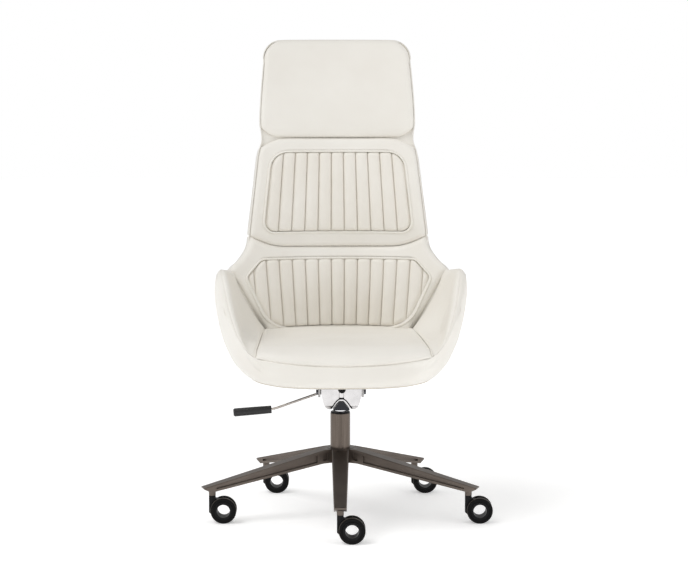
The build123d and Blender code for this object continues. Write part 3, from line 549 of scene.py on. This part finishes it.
def upper_back():
    u, v = spread(150, 0.5), spread(110, 0.5)
    bot = symmetric(SEAM_LOW)
    top = symmetric(SEAM_TOP)
    zz = np.linspace(0.688, 0.9115, 12)
    right = np.stack([side_x(zz) - EDGE_IN, zz], -1)
    left = mirror_x(right)
    xz = coons(lambda t: run(bot, t), lambda t: run(top, t), lambda t: run(left, t), lambda t: run(right, t), u, v)
    base = lifted(xz, f_up, 0.017)
    line_b = lifted(run(bot, np.linspace(0, 1, 90)), f_up, 0.017)
    line_t = lifted(run(top, np.linspace(0, 1, 90)), f_up, 0.017)
    line_l = lifted(run(left, np.linspace(0, 1, 40)), f_up, 0.017)
    line_r = mirror_x(line_l)
    # the panel is let into the face
    well = panel_well(xz, TRAP, 0.0062)
    crown = 0.004 * np.cos(np.clip(xz[..., 0] / 0.23, -1, 1) * math.pi / 2)
    o = pad("upper_back", base, [(line_b, 0.014, 0), (line_t, 0.014, 0), (line_l, 0.013, 0), (line_r, 0.013, 0)], (0, -1, 0), thick=0.022, puff=0.0120, extra=crown - well, seed=3.0)
    return o


def rounded(points, radii, step=0.003):
    """A closed outline with rounded corners, from its corners in order."""
    p = np.asarray(points, float)
    n = len(p)
    out = []
    for i in range(n):
        a, b, c = p[i - 1], p[i], p[(i + 1) % n]
        u1, u2 = (a - b) / np.linalg.norm(a - b), (c - b) / np.linalg.norm(c - b)
        half = math.acos(float(np.clip(u1 @ u2, -1, 1))) / 2
        cut = min(radii[i] / math.tan(half), 0.48 * np.linalg.norm(a - b), 0.48 * np.linalg.norm(c - b))
        r = cut * math.tan(half)
        s, e = b + u1 * cut, b + u2 * cut
        mid = (u1 + u2) / np.linalg.norm(u1 + u2)
        centre = b + mid * (r / math.sin(half))
        a0 = math.atan2(*(s - centre)[::-1])
        a1 = math.atan2(*(e - centre)[::-1])
        d = (a1 - a0 + math.pi) % (2 * math.pi) - math.pi
        k = max(4, int(abs(d) * r / step))
        out += [centre + r * np.array([math.cos(a0 + d * q / k), math.sin(a0 + d * q / k)]) for q in range(k + 1)]
    out = np.array(out)
    # fill the straight runs evenly
    dense = []
    for a, b in zip(out, np.roll(out, -1, 0)):
        m = max(1, int(np.linalg.norm(b - a) / step))
        dense += [a + (b - a) * q / m for q in range(m)]
    return np.array(dense)


def grown(points, d):
    """Corners of an outline moved outward by d on every side."""
    p = np.asarray(points, float)
    n = len(p)
    area = sum(p[i - 1][0] * p[i][1] - p[i][0] * p[i - 1][1] for i in range(n))
    s = 1 if area > 0 else -1
    out = []
    for i in range(n):
        a, b, c = p[i - 1], p[i], p[(i + 1) % n]
        d1, d2 = (b - a) / np.linalg.norm(b - a), (c - b) / np.linalg.norm(c - b)
        n1, n2 = np.array([d1[1], -d1[0]]) * s, np.array([d2[1], -d2[0]]) * s
        m = (n1 + n2) / (1 + n1 @ n2)
        out.append(b + m * d)
    return np.array(out)


TRAP_P = [(-0.190, 0.6985), (0.190, 0.6985), (0.168, 0.9000), (-0.168, 0.9000)]
TRAP_R = [0.026, 0.026, 0.044, 0.044]
HEX_P = [(-0.1745, 0.4565), (0.1745, 0.4565), (0.2345, 0.5850), (0.1965, 0.6275), (-0.1965, 0.6275), (-0.2345, 0.5850)]
HEX_R = [0.080, 0.080, 0.016, 0.024, 0.024, 0.016]
TRAP = rounded(TRAP_P, TRAP_R)
HEX = rounded(HEX_P, HEX_R)


def inside_distance(xz, outline):
    """How far inside a convex-ish outline each point is; negative outside."""
    d = to_line(xz, np.concatenate([outline, outline[:1]]))
    x, z = xz[..., 0], xz[..., 1]
    odd = np.zeros(x.shape, bool)
    px, pz = outline[:, 0], outline[:, 1]
    for i in range(len(outline)):
        x0, z0, x1, z1 = px[i - 1], pz[i - 1], px[i], pz[i]
        if z0 == z1:
            continue
        hit = ((z0 > z) != (z1 > z)) & (x < (x1 - x0) * (z - z0) / (z1 - z0) + x0)
        odd ^= hit
    return np.where(odd, d, -d)


def panel_well(xz, outline, depth):
    """The sunken bed for a panel and its piping, with a soft shoulder outside it."""
    d = inside_distance(xz, outline)
    t = np.clip((d + 0.0036) / 0.0036, 0, 1)
    return depth * t * t * (3 - 2 * t)


def channels(name, outline, pitch, count, f, depth, rib, mat, replaced, seed):
    """Upright sewn channels: each is its own rounded rib that ends at the panel's outline."""
    verts, faces = [], []
    across, along = 14, 64
    half = count / 2
    for k in range(count):
        c0, c1 = -half + k, -half + k + 1
        cs = np.linspace(c0, c1, across + 1)
        cols = []
        for c in cs:
            # where this line enters and leaves the outline
            zs = np.linspace(outline[:, 1].min() + 1e-4, outline[:, 1].max() - 1e-4, 420)
            line = np.stack([c * pitch(zs), zs], -1)
            ok = inside_distance(line, outline) > 0
            if not ok.any():
                cols.append(None)
                continue
            cols.append((zs[ok][0], zs[ok][-1]))
        live = [i for i, q in enumerate(cols) if q is not None and q[1] - q[0] > 0.004]
        if len(live) < 4:
            continue
        P = np.zeros((len(live), along + 1, 3))
        v = spread(along, 0.7)
        for r, i in enumerate(live):
            z0, z1 = cols[i]
            z = z0 + (z1 - z0) * v
            x = cs[i] * pitch(z)
            P[r] = np.stack([x, f(x, z) + depth, z], -1)
        t = (cs[live] - c0) / (c1 - c0)
        prof = np.sqrt(np.clip(1 - (2 * t - 1) ** 2, 0, 1)) ** 0.9
        xz = P[..., [0, 2]]
        d = inside_distance(xz, outline)
        end = dome(np.clip(d, 0, None), 0.011)
        lift = rib * prof[:, None] * end + 0.0022 * end
        n = grid_normals(P)
        if n.reshape(-1, 3).mean(0)[1] > 0:
            n = -n
        pucker = swell(P, 0.0007, 55.0, seed + k) * end
        face = P + n * (lift + pucker)[..., None]
        back = P - n * 0.006
        a, b = face.shape[:2]
        off = len(verts)
        verts += list(face.reshape(-1, 3)) + list(back.reshape(-1, 3))
        m = a * b
        for i in range(a - 1):
            for j in range(b - 1):
                q = off + i * b + j
                faces.append((q, q + 1, q + b + 1, q + b))
                faces.append((m + q, m + q + b, m + q + b + 1, m + q + 1))
        edge = [(i, 0) for i in range(a)] + [(a - 1, j) for j in range(1, b)] + [(i, b - 1) for i in range(a - 2, -1, -1)] + [(0, j) for j in range(b - 2, 0, -1)]
        ids = [off + i * b + j for i, j in edge]
        for p, q in zip(ids, ids[1:] + ids[:1]):
            faces.append((p, q, m + q, m + p))
    o = mesh_object(name, verts, faces, merge=1e-7)
    return soft(o, mat, replaced)


def piping(name, corners, radii, offset, f, lift, radius, replaced):
    path = rounded(grown(corners, offset), [r + offset for r in radii], 0.0025)
    P = lifted(path, f, lift)
    return trim(tube(name, P, radius, 12, loop=True), WELT, replaced)


# ------------------------------------------------------------------ back cushions
soft(upper_back(), CREAM, ["upper_back_cushion"])


def lower_back():
    u, v = spread(150, 0.5), spread(110, 0.45)
    bot = symmetric([(0.0, 0.4395), (0.10, 0.4395), (0.160, 0.4410), (0.181, 0.4480)])
    top = symmetric(SEAM_LOW)
    right = np.array([(0.181, 0.4480), (0.194, 0.4700), (0.214, 0.5000), (0.2335, 0.5330), (0.2515, 0.5640), (0.2675, 0.5880), (0.2770, 0.6030), (0.2710, 0.6140), (0.2545, 0.6290), (0.2415, 0.6450), (0.2318, 0.6600), (0.2272, 0.6740), (0.2258, 0.6880)])
    left = mirror_x(right)
    xz = coons(lambda t: run(bot, t), lambda t: run(top, t), lambda t: run(left, t), lambda t: run(right, t), u, v)
    base = lifted(xz, f_low, 0.016)
    lb = lifted(run(bot, np.linspace(0, 1, 60)), f_low, 0.016)
    lt = lifted(run(top, np.linspace(0, 1, 90)), f_low, 0.016)
    ll = lifted(run(left, np.linspace(0, 1, 70)), f_low, 0.016)
    lr = mirror_x(ll)
    well = panel_well(xz, HEX, 0.0064)
    return pad("lower_back", base, [(lb, 0.018, 0.2), (lt, 0.018, 0), (ll, 0.016, 0), (lr, 0.016, 0)], (0, -1, 0), thick=0.022, puff=0.0120, extra=-well, seed=11.0)


soft(lower_back(), CREAM, ["lower_back_cushion"])

PITCH_UP = lambda z: hermite([0.69, 0.9], [0.0344, 0.0310], z)
PITCH_LOW = lambda z: hermite([0.44, 0.63], [0.0313, 0.0339], z)
channels("upper_back_channels", TRAP, PITCH_UP, 11, f_up, 0.0085, 0.0090, CREAM_PANEL, ["upper_back_panel"], 1.0)
channels("lower_back_channels", HEX, PITCH_LOW, 15, f_low, 0.0090, 0.0090, CREAM_PANEL, ["lower_back_panel"], 2.0)
piping("upper_back_welt", TRAP_P, TRAP_R, 0.0028, f_up, 0.0018, 0.0027, ["upper_back_piping"])
piping("lower_back_welt", HEX_P, HEX_R, 0.0028, f_low, 0.0018, 0.0027, ["lower_back_piping"])


def headrest():
    u, v = spread(130, 0.55), spread(100, 0.55)
    bot = symmetric(SEAM_HEAD)
    cx, cz = 0.1880 - HEAD_R, 1.1838 - HEAD_R
    arc = corner_arc(cx - 0.0005, cz, HEAD_R, 0, 90, 17)
    zz = np.linspace(0.9640, cz - 0.004, 10)
    side = [(float(side_x(min(z, 1.13))) - EDGE_IN, z) for z in zz]
    # the grid's upper corners sit halfway round the rounded corners
    right = np.array(side + arc[:9])
    top_half = np.array(HEAD_TOP[:2] + arc[8:][::-1])
    top = symmetric(top_half)
    left = mirror_x(right)
    xz = coons(lambda t: run(bot, t), lambda t: run(top, t), lambda t: run(left, t), lambda t: run(right, t), u, v)
    base = lifted(xz, f_head, 0.020)
    lb = lifted(run(bot, np.linspace(0, 1, 90)), f_head, 0.020)
    lt = lifted(run(top, np.linspace(0, 1, 90)), f_head, 0.020)
    ll = lifted(run(left, np.linspace(0, 1, 70)), f_head, 0.020)
    lr = mirror_x(ll)
    x, z = xz[..., 0], xz[..., 1]
    crown = 0.006 * np.exp(-(((z - 1.03) / 0.07) ** 2)) * np.cos(np.clip(x / 0.2, -1, 1) * math.pi / 2)
    return pad("headrest", base, [(lb, 0.026, 0), (lt, 0.024, 0), (ll, 0.013, 0), (lr, 0.013, 0)], (0, -1, 0), thick=0.020, puff=0.0110, extra=crown, uneven=0.0016, seed=21.0)


soft(headrest(), CREAM, ["headrest_cushion"])


# ------------------------------------------------------------------ tall back cover
def back_cover():
    u, v = spread(150, 0.75), spread(150, 0.6)
    bot = symmetric([(0.0, 0.6560), (0.10, 0.6560), (0.18, 0.6560), (0.2300, 0.6560)])
    cx, cz = 0.1910 - HEAD_R, 1.1870 - HEAD_R
    arc = corner_arc(cx, cz, HEAD_R, 0, 90, 17)
    zz = np.linspace(0.6560, cz - 0.004, 24)
    side = [(float(side_x(min(z, 1.13))), z) for z in zz]
    right = np.array(side + arc[:9])
    top = symmetric(np.array([(0.0, 1.1880), (0.08, 1.1878)] + arc[8:][::-1]))
    left = mirror_x(right)
    xz = coons(lambda t: run(bot, t), lambda t: run(top, t), lambda t: run(left, t), lambda t: run(right, t), u, v)
    x, z = xz[..., 0], xz[..., 1]
    ring2 = np.concatenate([run(left, np.linspace(0, 1, 150)), run(top, np.linspace(0, 1, 100)), run(right, np.linspace(1, 0, 150))])
    d = to_line(xz, ring2)
    front = np.where(z > 0.937, f_head(x, z) + 0.017, f_up(x, z) + 0.015)
    blend = np.clip((z - 0.92) / 0.04, 0, 1)
    front = (1 - blend) * (f_up(x, z) + 0.015) + blend * (f_head(x, z) + 0.018)
    rear = g_rear(x, z)
    R = 0.034
    t = 1 - np.clip(d / R, 0, 1)
    w = 1 - np.sqrt(np.clip(1 - t**2.6, 0, 1))
    y = rear - (rear - front) * w
    face = np.stack([x, y, z], -1)
    inner = np.stack([x * 0.985, np.minimum(front + 0.006, y - 0.002), np.clip(z, 0.664, 1.18)], -1)
    return closed("back_cover_skin", face, inner)


soft(back_cover(), CREAM_BACK, ["back_cover", "back_frame"])

# ------------------------------------------------------------------ bucket cover
PLAN_HALF = [
    (0.0, -0.2850), (0.065, -0.2825), (0.125, -0.2755), (0.175, -0.2625), (0.212, -0.2455), (0.246, -0.216), (0.277, -0.176), (0.292, -0.140), (0.303, -0.100),
    (0.311, -0.055), (0.314, -0.010), (0.309, 0.050), (0.294, 0.105), (0.272, 0.150), (0.243, 0.190), (0.219, 0.2135), (0.165, 0.2500), (0.090, 0.2760), (0.0, 0.2850),
]
# the cover's rim in space: the seat's front seam, the arm and the shoulder behind it
RIM = [
    (0.0, -0.2840, 0.4137), (0.065, -0.2812, 0.4150), (0.125, -0.2745, 0.4190), (0.175, -0.2612, 0.4250), (0.2160, -0.2435, 0.4320), (0.2495, -0.2130, 0.4660), (0.2735, -0.1800, 0.5120), (0.2892, -0.1450, 0.5590), (0.3002, -0.1080, 0.6035),
    (0.3055, -0.0740, 0.6228), (0.3062, -0.0200, 0.6215), (0.3028, 0.0450, 0.6150), (0.2935, 0.0960, 0.6085), (0.2830, 0.1280, 0.6075), (0.2465, 0.1630, 0.6400), (0.2300, 0.1890, 0.6620), (0.1800, 0.2360, 0.6715), (0.0950, 0.2730, 0.6720), (0.0, 0.2875, 0.6720),
]
RIM_Z = [q[2] for q in RIM]
LEVELS = [
    # height, half width, front reach, rear reach
    (0.3545, 0.120, 0.132, 0.095), (0.3556, 0.200, 0.230, 0.182), (0.3578, 0.219, 0.254, 0.200), (0.3618, 0.2320, 0.268, 0.210), (0.3685, 0.2435, 0.2785, 0.2180),
    (0.3790, 0.2545, 0.2838, 0.2270), (0.3940, 0.2668, 0.2850, 0.2375), (0.4120, 0.2765, 0.2850, 0.2485), (0.4450, 0.2905, 0.2850, 0.2610), (0.4820, 0.3008, 0.2850, 0.2695),
    (0.5250, 0.3092, 0.2850, 0.2755), (0.5750, 0.3137, 0.2850, 0.2800), (0.6100, 0.3115, 0.2850, 0.2830), (0.6300, 0.3090, 0.2850, 0.2840), (0.6750, 0.3050, 0.2850, 0.2850),
]
lev = np.array(LEVELS)


def bucket_point(px, py, z):
    """Where the bucket's outer surface is, above or below a point of its plan."""
    w = hermite(lev[:, 0], lev[:, 1], z) / 0.3140
    f = hermite(lev[:, 0], lev[:, 2], z) / 0.2850
    r = hermite(lev[:, 0], lev[:, 3], z) / 0.2850
    return np.stack([px * w, py * np.where(py < 0, f, r), z], -1)


def plan_loop(n_half=150):
    """The cover's plan and its rim in space, all round, centre front first."""
    p = np.array(PLAN_HALF)
    rows = np.concatenate([p, np.array(RIM)], 1)
    d = np.r_[0, np.cumsum(np.linalg.norm(np.diff(p, axis=0), axis=1))]
    t = np.linspace(0, 1, n_half + 1)
    half = hermite(d / d[-1], rows, t)
    other = half[1:-1][::-1].copy()
    other[:, [0, 2]] *= -1
    return np.concatenate([half, other])


def bucket_cover():
    L = plan_loop()
    px, py, rim = L[:, 0], L[:, 1], L[:, 2:5]
    rz = rim[:, 2]
    rings_ = []
    low = [0.3545, 0.3549, 0.3556, 0.3566, 0.3578, 0.3597, 0.3618, 0.3650, 0.3685, 0.3735, 0.3790, 0.3862, 0.3940]
    for z in low:
        rings_.append(bucket_point(px, py, np.full(len(px), z)))
    ts = spread(40, 0.35)[1:]
    for t in ts:
        q = bucket_point(px, py, 0.3940 + (rz - 0.3940) * t)
        # the last stretch leans over to meet the rim
        w = np.clip((t - 0.35) / 0.65, 0, 1) ** 1.6
        q[:, :2] += w * (rim[:, :2] - bucket_point(px, py, rz)[:, :2])
        rings_.append(q)
    outer = np.array(rings_)
    top = outer[-1]
    tan = np.roll(top, -1, 0) - np.roll(top, 1, 0)
    out = np.stack([tan[:, 1], -tan[:, 0], np.zeros(len(tan))], -1)
    out /= np.linalg.norm(out, axis=1, keepdims=True)
    if (out[:, 1] * top[:, 1]).mean() < 0:
        out = -out
    up = np.array([0, 0, 1.0])
    # leather over foam: full in the middle, pulled in at the seam
    zt = outer[..., 2]
    part = np.clip((zt - 0.3545) / (rz[None, :] - 0.3545), 0, 1)
    tall = np.clip((rz - 0.4137) / 0.18, 0, 1)
    belly = 0.0030 * np.sin(np.pi * part) ** 0.8 * (1 - 0.6 * tall)[None]
    # and rolled over into the seam
    near = np.clip((part - 0.90) / 0.10, 0, 1)
    roll = (0.0035 + 0.0055 * tall)[None] * (1 - np.sqrt(np.clip(1 - 0.97 * near**2.2, 0, 1))) / (1 - math.sqrt(0.03))
    outer = outer + out[None] * (belly - roll)[..., None]
    slow = np.array([[noise.noise(Vector((float(v[0]) * 7.0, float(v[1]) * 7.0, float(v[2]) * 7.0))) for v in ring] for ring in outer])
    outer = outer + out[None] * (0.0009 * slow * np.sin(np.pi * part))[..., None]
    top = outer[-1]
    extra_rings = [
        top - out * 0.0010 - up * 0.0004,
        top - out * 0.0022 - up * 0.0022,
        top - out * 0.0032 - up * 0.0065,
        top - out * 0.0060 - up * 0.0150,
        top - out * 0.0110 - up * 0.0300,
    ]
    foot = bucket_point(px, py, np.full(len(px), 0.3660))
    foot[:, :2] *= 0.90
    foot[:, 2] = 0.3740
    inner_foot = outer[0].copy()
    inner_foot[:, 2] += 0.008
    mid = 0.5 * (extra_rings[-1] + foot) - out * 0.004
    return rings("bucket_cover", list(outer) + extra_rings + [mid, foot, inner_foot])


soft(bucket_cover(), CREAM_BACK, ["front_apron", "outer_side_left", "outer_side_right", "lower_rear_cover", "bucket_frame"])


def rim_curve(n, a=4, b=14):
    """The seam between cover and pads on the sitter's left, from the seat's front corner to behind the arm."""
    p = np.array(PLAN_HALF)
    d = np.r_[0, np.cumsum(np.linalg.norm(np.diff(p, axis=0), axis=1))]
    t = np.linspace(d[a], d[b], n)
    q = hermite(d, np.array(RIM), t)
    c = np.array([[0, 0]])
    # just inside the cover's rolled edge
    tan = np.gradient(q, axis=0)
    nrm = np.stack([tan[:, 1], -tan[:, 0]], -1)
    nrm /= np.linalg.norm(nrm, axis=1, keepdims=True)
    if (nrm * q[:, :2]).sum(1).mean() < 0:
        nrm = -nrm
    tall = np.clip((q[:, 2] - 0.4137) / 0.18, 0, 1)
    q[:, :2] -= nrm * (0.0040 + 0.0062 * tall)[:, None]
    q[:, 2] -= 0.0012
    return q


# ------------------------------------------------------------------ seat cushion and arm pads
SEAM_SIDE = np.array([(0.2115, -0.2425, 0.4305), (0.2095, -0.2200, 0.4410), (0.2065, -0.1800, 0.4460), (0.2020, -0.1000, 0.4495), (0.1970, 0.0, 0.4510), (0.1900, 0.1000, 0.4530), (0.1865, 0.1250, 0.4530)])


def seat_cushion():
    u, v = spread(150, 0.55), spread(130, 0.6)
    front_half = np.array(RIM[:5])
    front_half[:, 1] += 0.0045
    front_half[:, 2] -= 0.0010
    front_half[-1] = SEAM_SIDE[0]
    front = np.concatenate([mirror_x(front_half[::-1])[:-1], front_half])
    rear = np.array([(-0.1865, 0.1250, 0.4500), (-0.12, 0.168, 0.4460), (0.0, 0.1860, 0.4440), (0.12, 0.168, 0.4460), (0.1865, 0.1250, 0.4500)])
    right = SEAM_SIDE.copy()
    right[-1, 2] = 0.4500
    left = mirror_x(right)
    # the rise from the front seam to the top of the seat follows a rounded nose
    grid = coons(lambda t: run(front, t), lambda t: run(rear, t), lambda t: run(left, t), lambda t: run(right, t), u, v)
    x, y = grid[..., 0], grid[..., 1]
    U = np.abs(u * 2 - 1)[:, None]
    y0 = grid[:, :1, 1]
    z0 = grid[:, :1, 2]
    dist = y - y0
    nose = np.sqrt(np.clip(1 - (1 - np.clip(dist / 0.062, 0, 1)) ** 2, 0, 1))
    crest = 0.4515 - 0.004 * U**2
    settle = 0.0035 * np.exp(-(((y - 0.02) / 0.10) ** 2)) * (1 - U**2)
    back_dip = 0.006 * np.clip((y - 0.10) / 0.08, 0, 1) ** 2
    top = z0 + (crest - z0) * nose - settle - back_dip
    edge = np.clip((1 - U) / 0.10, 0, 1)
    edge = edge * edge * (3 - 2 * edge)
    grid[..., 2] = grid[..., 2] * (1 - edge) + top * edge
    lf = run(front, np.linspace(0, 1, 120))
    lr_ = run(rear, np.linspace(0, 1, 50))
    ls = run(right, np.linspace(0, 1, 60))
    return pad("seat_cushion_top", grid, [(lf, 0.020, 0), (lr_, 0.018, 0), (ls, 0.012, 0.0), (mirror_x(ls), 0.012, 0.0)], (0, -0.3, 1), thick=0.030, puff=0.0075, uneven=0.0012, seed=31.0, shrink=0.03)


soft(seat_cushion(), CREAM, ["seat_cushion"])


def arm_pad(name, sign, replaced):
    nu, nv = 150, 100
    u = np.linspace(0, 1, nu + 1)
    A = run(rim_curve(400, 4, 13), u)
    C = run(SEAM_SIDE[:-1], u)
    v = spread(nv, 0.45)
    rows, wide = [], []
    scoop = np.array([(0.0, 0.0), (0.30, 0.030), (0.55, 0.13), (0.735, 0.34), (0.830, 0.58), (0.880, 0.79), (0.922, 0.915), (0.962, 0.978), (1.0, 1.0)])
    plain = np.array([(0.0, 0.0), (0.20, 0.145), (0.40, 0.305), (0.58, 0.480), (0.73, 0.650), (0.86, 0.835), (0.92, 0.925), (0.962, 0.972), (1.0, 1.0)])
    for k in range(nu + 1):
        a, c = A[k], C[k]
        D = a - c
        r = np.clip((u[k] - 0.42) / 0.50, 0, 1)
        r = r * r * (3 - 2 * r)
        w = (1 - r) * scoop + r * plain
        pts = c[None] + np.stack([D[0] * w[:, 0], D[1] * w[:, 0], D[2] * w[:, 1]], -1)
        rows.append(run(pts, v))
        wide.append(np.linalg.norm(D))
    P = np.array(rows)
    if sign < 0:
        P = mirror_x(P)
    n = grid_normals(P)
    toward = np.array([-sign, -0.3, 0.6])
    if n.reshape(-1, 3).mean(0) @ toward < 0:
        n = -n
    # where the pad runs out at the seat's corner its sections shrink to nothing, so their normals come from further along
    wide = np.array(wide)
    first = int(np.argmax(wide > 0.045))
    n[:first] = n[first][None]
    la, lc, lb = P[:, -1], P[:, 0], P[-1]
    small = np.clip(wide / 0.09, 0, 1)[:, None]
    fa = dome(to_line(P, la), 0.019)
    fc = dome(to_line(P, lc), 0.011)
    fb = dome(to_line(P, lb), 0.007)
    h = fa * fc * (0.55 + 0.45 * fb) * small
    full = (0.0095 - 0.0045 * np.clip((u - 0.45) / 0.4, 0, 1))[:, None]
    lift = full * h + swell(P, 0.0010, 9.0, 41.0 + sign) * h
    face = P + n * lift[..., None]
    back = P - n * (0.016 * np.clip(wide / 0.12, 0.02, 1))[:, None, None]
    return closed(name, face, back)


soft(arm_pad("arm_pad_left_leather", 1, None), CREAM, ["arm_pad_left"])
soft(arm_pad("arm_pad_right_leather", -1, None), CREAM, ["arm_pad_right"])

# raised seam between seat and arm pads, and the welt round the foot of the cover
for sign, side in ((1, "left"), (-1, "right")):
    line = run(SEAM_SIDE[:-1], np.linspace(0, 1, 90))
    line[:, 2] += 0.0048
    line[:, 0] += 0.0006
    trim(tube("seat_seam_" + side, line if sign > 0 else mirror_x(line), 0.0019, 10), WELT)


def foot_welt():
    L = plan_loop(130)
    q = bucket_point(L[:, 0], L[:, 1], np.full(len(L), 0.3606))
    c = q[:, :2] / np.linalg.norm(q[:, :2], axis=1, keepdims=True)
    q[:, :2] += c * 0.0006
    return tube("foot_welt", q, 0.0019, 10, loop=True)


trim(foot_welt(), EDGE_WELT)


def arch_painted_shade_line():
    """A painted shade line: a black tube that follows the arch in the housing's front face."""
    half = [(0.0, 0.3062), (0.0045, 0.3058), (0.0090, 0.3034), (0.0173, 0.2942), (0.0222, 0.2868), (0.0258, 0.2818)]
    xz = symmetric(half)
    d = np.linspace(0, 1, 70)
    q = run(xz, d)
    P = np.stack([q[:, 0], np.full(len(q), -0.0852), q[:, 1]], -1)
    return tube("arch_painted_shade_line", P, 0.0017, 10)


# painted shade: the black tube stands in for the shadow line along the arch's edge
trim(arch_painted_shade_line(), NYLON, body="lift")

# ------------------------------------------------------------------ hard nodes keep their CAD shape
HARD = {
    "base_star": BRONZE, "column_tube": BRONZE_TUBE, "column_bush": NYLON, "thrust_bearing": STEEL, "caster_stems": CHROME, "stem_sleeves": BRONZE,
    "piston_rod": CHROME, "rod_clip": STEEL, "gas_cylinder": CHROME, "mechanism_housing": CASTING, "tilt_shaft": STEEL, "tilt_springs": STEEL, "lever_pivot_pin": STEEL,
    "valve_pin": CHROME, "tension_knob": NYLON, "tension_screw": STEEL, "lever_yoke": NYLON, "lever_rod": WIRE, "lever_grip": GRIP, "seat_plate": SILVER, "seat_bolts": STEEL,
    "pivot_bushes": NYLON, "bucket_frame": WOOD, "back_frame": WOOD, "bottom_panel": LINING,
}
for n, o in nodes.items():
    if n in HARD:
        m = HARD[n]
    elif n.endswith("_housing") and n.startswith("caster"):
        m = NYLON
    elif "_rings" in n:
        m = NYLON
    elif "_wheel_" in n:
        m = TYRE
    else:
        continue
    o.data.materials.clear()
    o.data.materials.append(m)

# ------------------------------------------------------------------ floor, light, camera
floor_mesh = bpy.data.meshes.new("floor")
S = 14.0
floor_mesh.from_pydata([(-S, -S, 0), (S, -S, 0), (S, S, 0), (-S, S, 0)], [], [(0, 1, 2, 3)])
floor = bpy.data.objects.new("floor", floor_mesh)
bpy.context.scene.collection.objects.link(floor)
fm, fnt, fb, fco = material("studio_floor")
fnt.links.new(ramp(fnt, noise_node(fnt, fco, 0.8, 2.0), [(0.3, (0.92, 0.92, 0.92)), (0.7, (0.94, 0.94, 0.94))]), fb.inputs["Base Color"])
fb.inputs["Roughness"].default_value = 0.7
fb.inputs["Specular IOR Level"].default_value = 0.15
fb.inputs["Emission Color"].default_value = (1.0, 1.0, 1.0, 1.0)
fb.inputs["Emission Strength"].default_value = 0.34
floor.data.materials.append(fm)

world = bpy.data.worlds.new("studio")
bpy.context.scene.world = world
world.use_nodes = True
wt = world.node_tree
sky = wt.nodes["Background"]
sky.inputs[0].default_value = (1.0, 1.0, 1.0, 1.0)
sky.inputs[1].default_value = 0.56
clear = wt.nodes.new("ShaderNodeBackground")
clear.inputs[0].default_value = (1.0, 1.0, 1.0, 1.0)
clear.inputs[1].default_value = 1.0
path = wt.nodes.new("ShaderNodeLightPath")
mixed = wt.nodes.new("ShaderNodeMixShader")
wt.links.new(path.outputs["Is Camera Ray"], mixed.inputs[0])
wt.links.new(sky.outputs[0], mixed.inputs[1])
wt.links.new(clear.outputs[0], mixed.inputs[2])
wt.links.new(mixed.outputs[0], wt.nodes["World Output"].inputs[0])
bpy.context.scene.view_settings.view_transform = "Standard"


def area(name, place, target, size, power, colour=(1, 1, 1)):
    d = bpy.data.lights.new(name, "AREA")
    d.shape = "RECTANGLE"
    d.size, d.size_y = size
    d.energy = power
    d.color = colour
    o = bpy.data.objects.new(name, d)
    bpy.context.scene.collection.objects.link(o)
    o.location = place
    o.rotation_euler = (Vector(target) - Vector(place)).to_track_quat("-Z", "Y").to_euler()
    return o


sun = bpy.data.lights.new("key", "SUN")
sun.energy = 1.08
sun.angle = math.radians(36)
sun_obj = bpy.data.objects.new("key", sun)
bpy.context.scene.collection.objects.link(sun_obj)
sun_obj.rotation_euler = Vector((0.52, 0.25, -0.82)).to_track_quat("-Z", "Y").to_euler()
area("right_fill", (2.5, -1.5, 1.35), (0, 0, 0.60), (1.4, 2.0), 11)

cam_data = bpy.data.cameras.new("camera")
cam_data.sensor_width = 36.0
cam_data.lens = 2184.0 * 36.0 / 688.0
cam_data.shift_x = (344.0 - 340.3) / 688.0
cam_data.clip_end = 100
cam = bpy.data.objects.new("camera", cam_data)
bpy.context.scene.collection.objects.link(cam)
AZ = math.radians(-2.0)
cam.location = (5.411 * math.sin(AZ), -5.411 * math.cos(AZ), 1.168)
cam.rotation_euler = (math.radians(90 - 6.26), 0.0, AZ)
bpy.context.scene.camera = cam
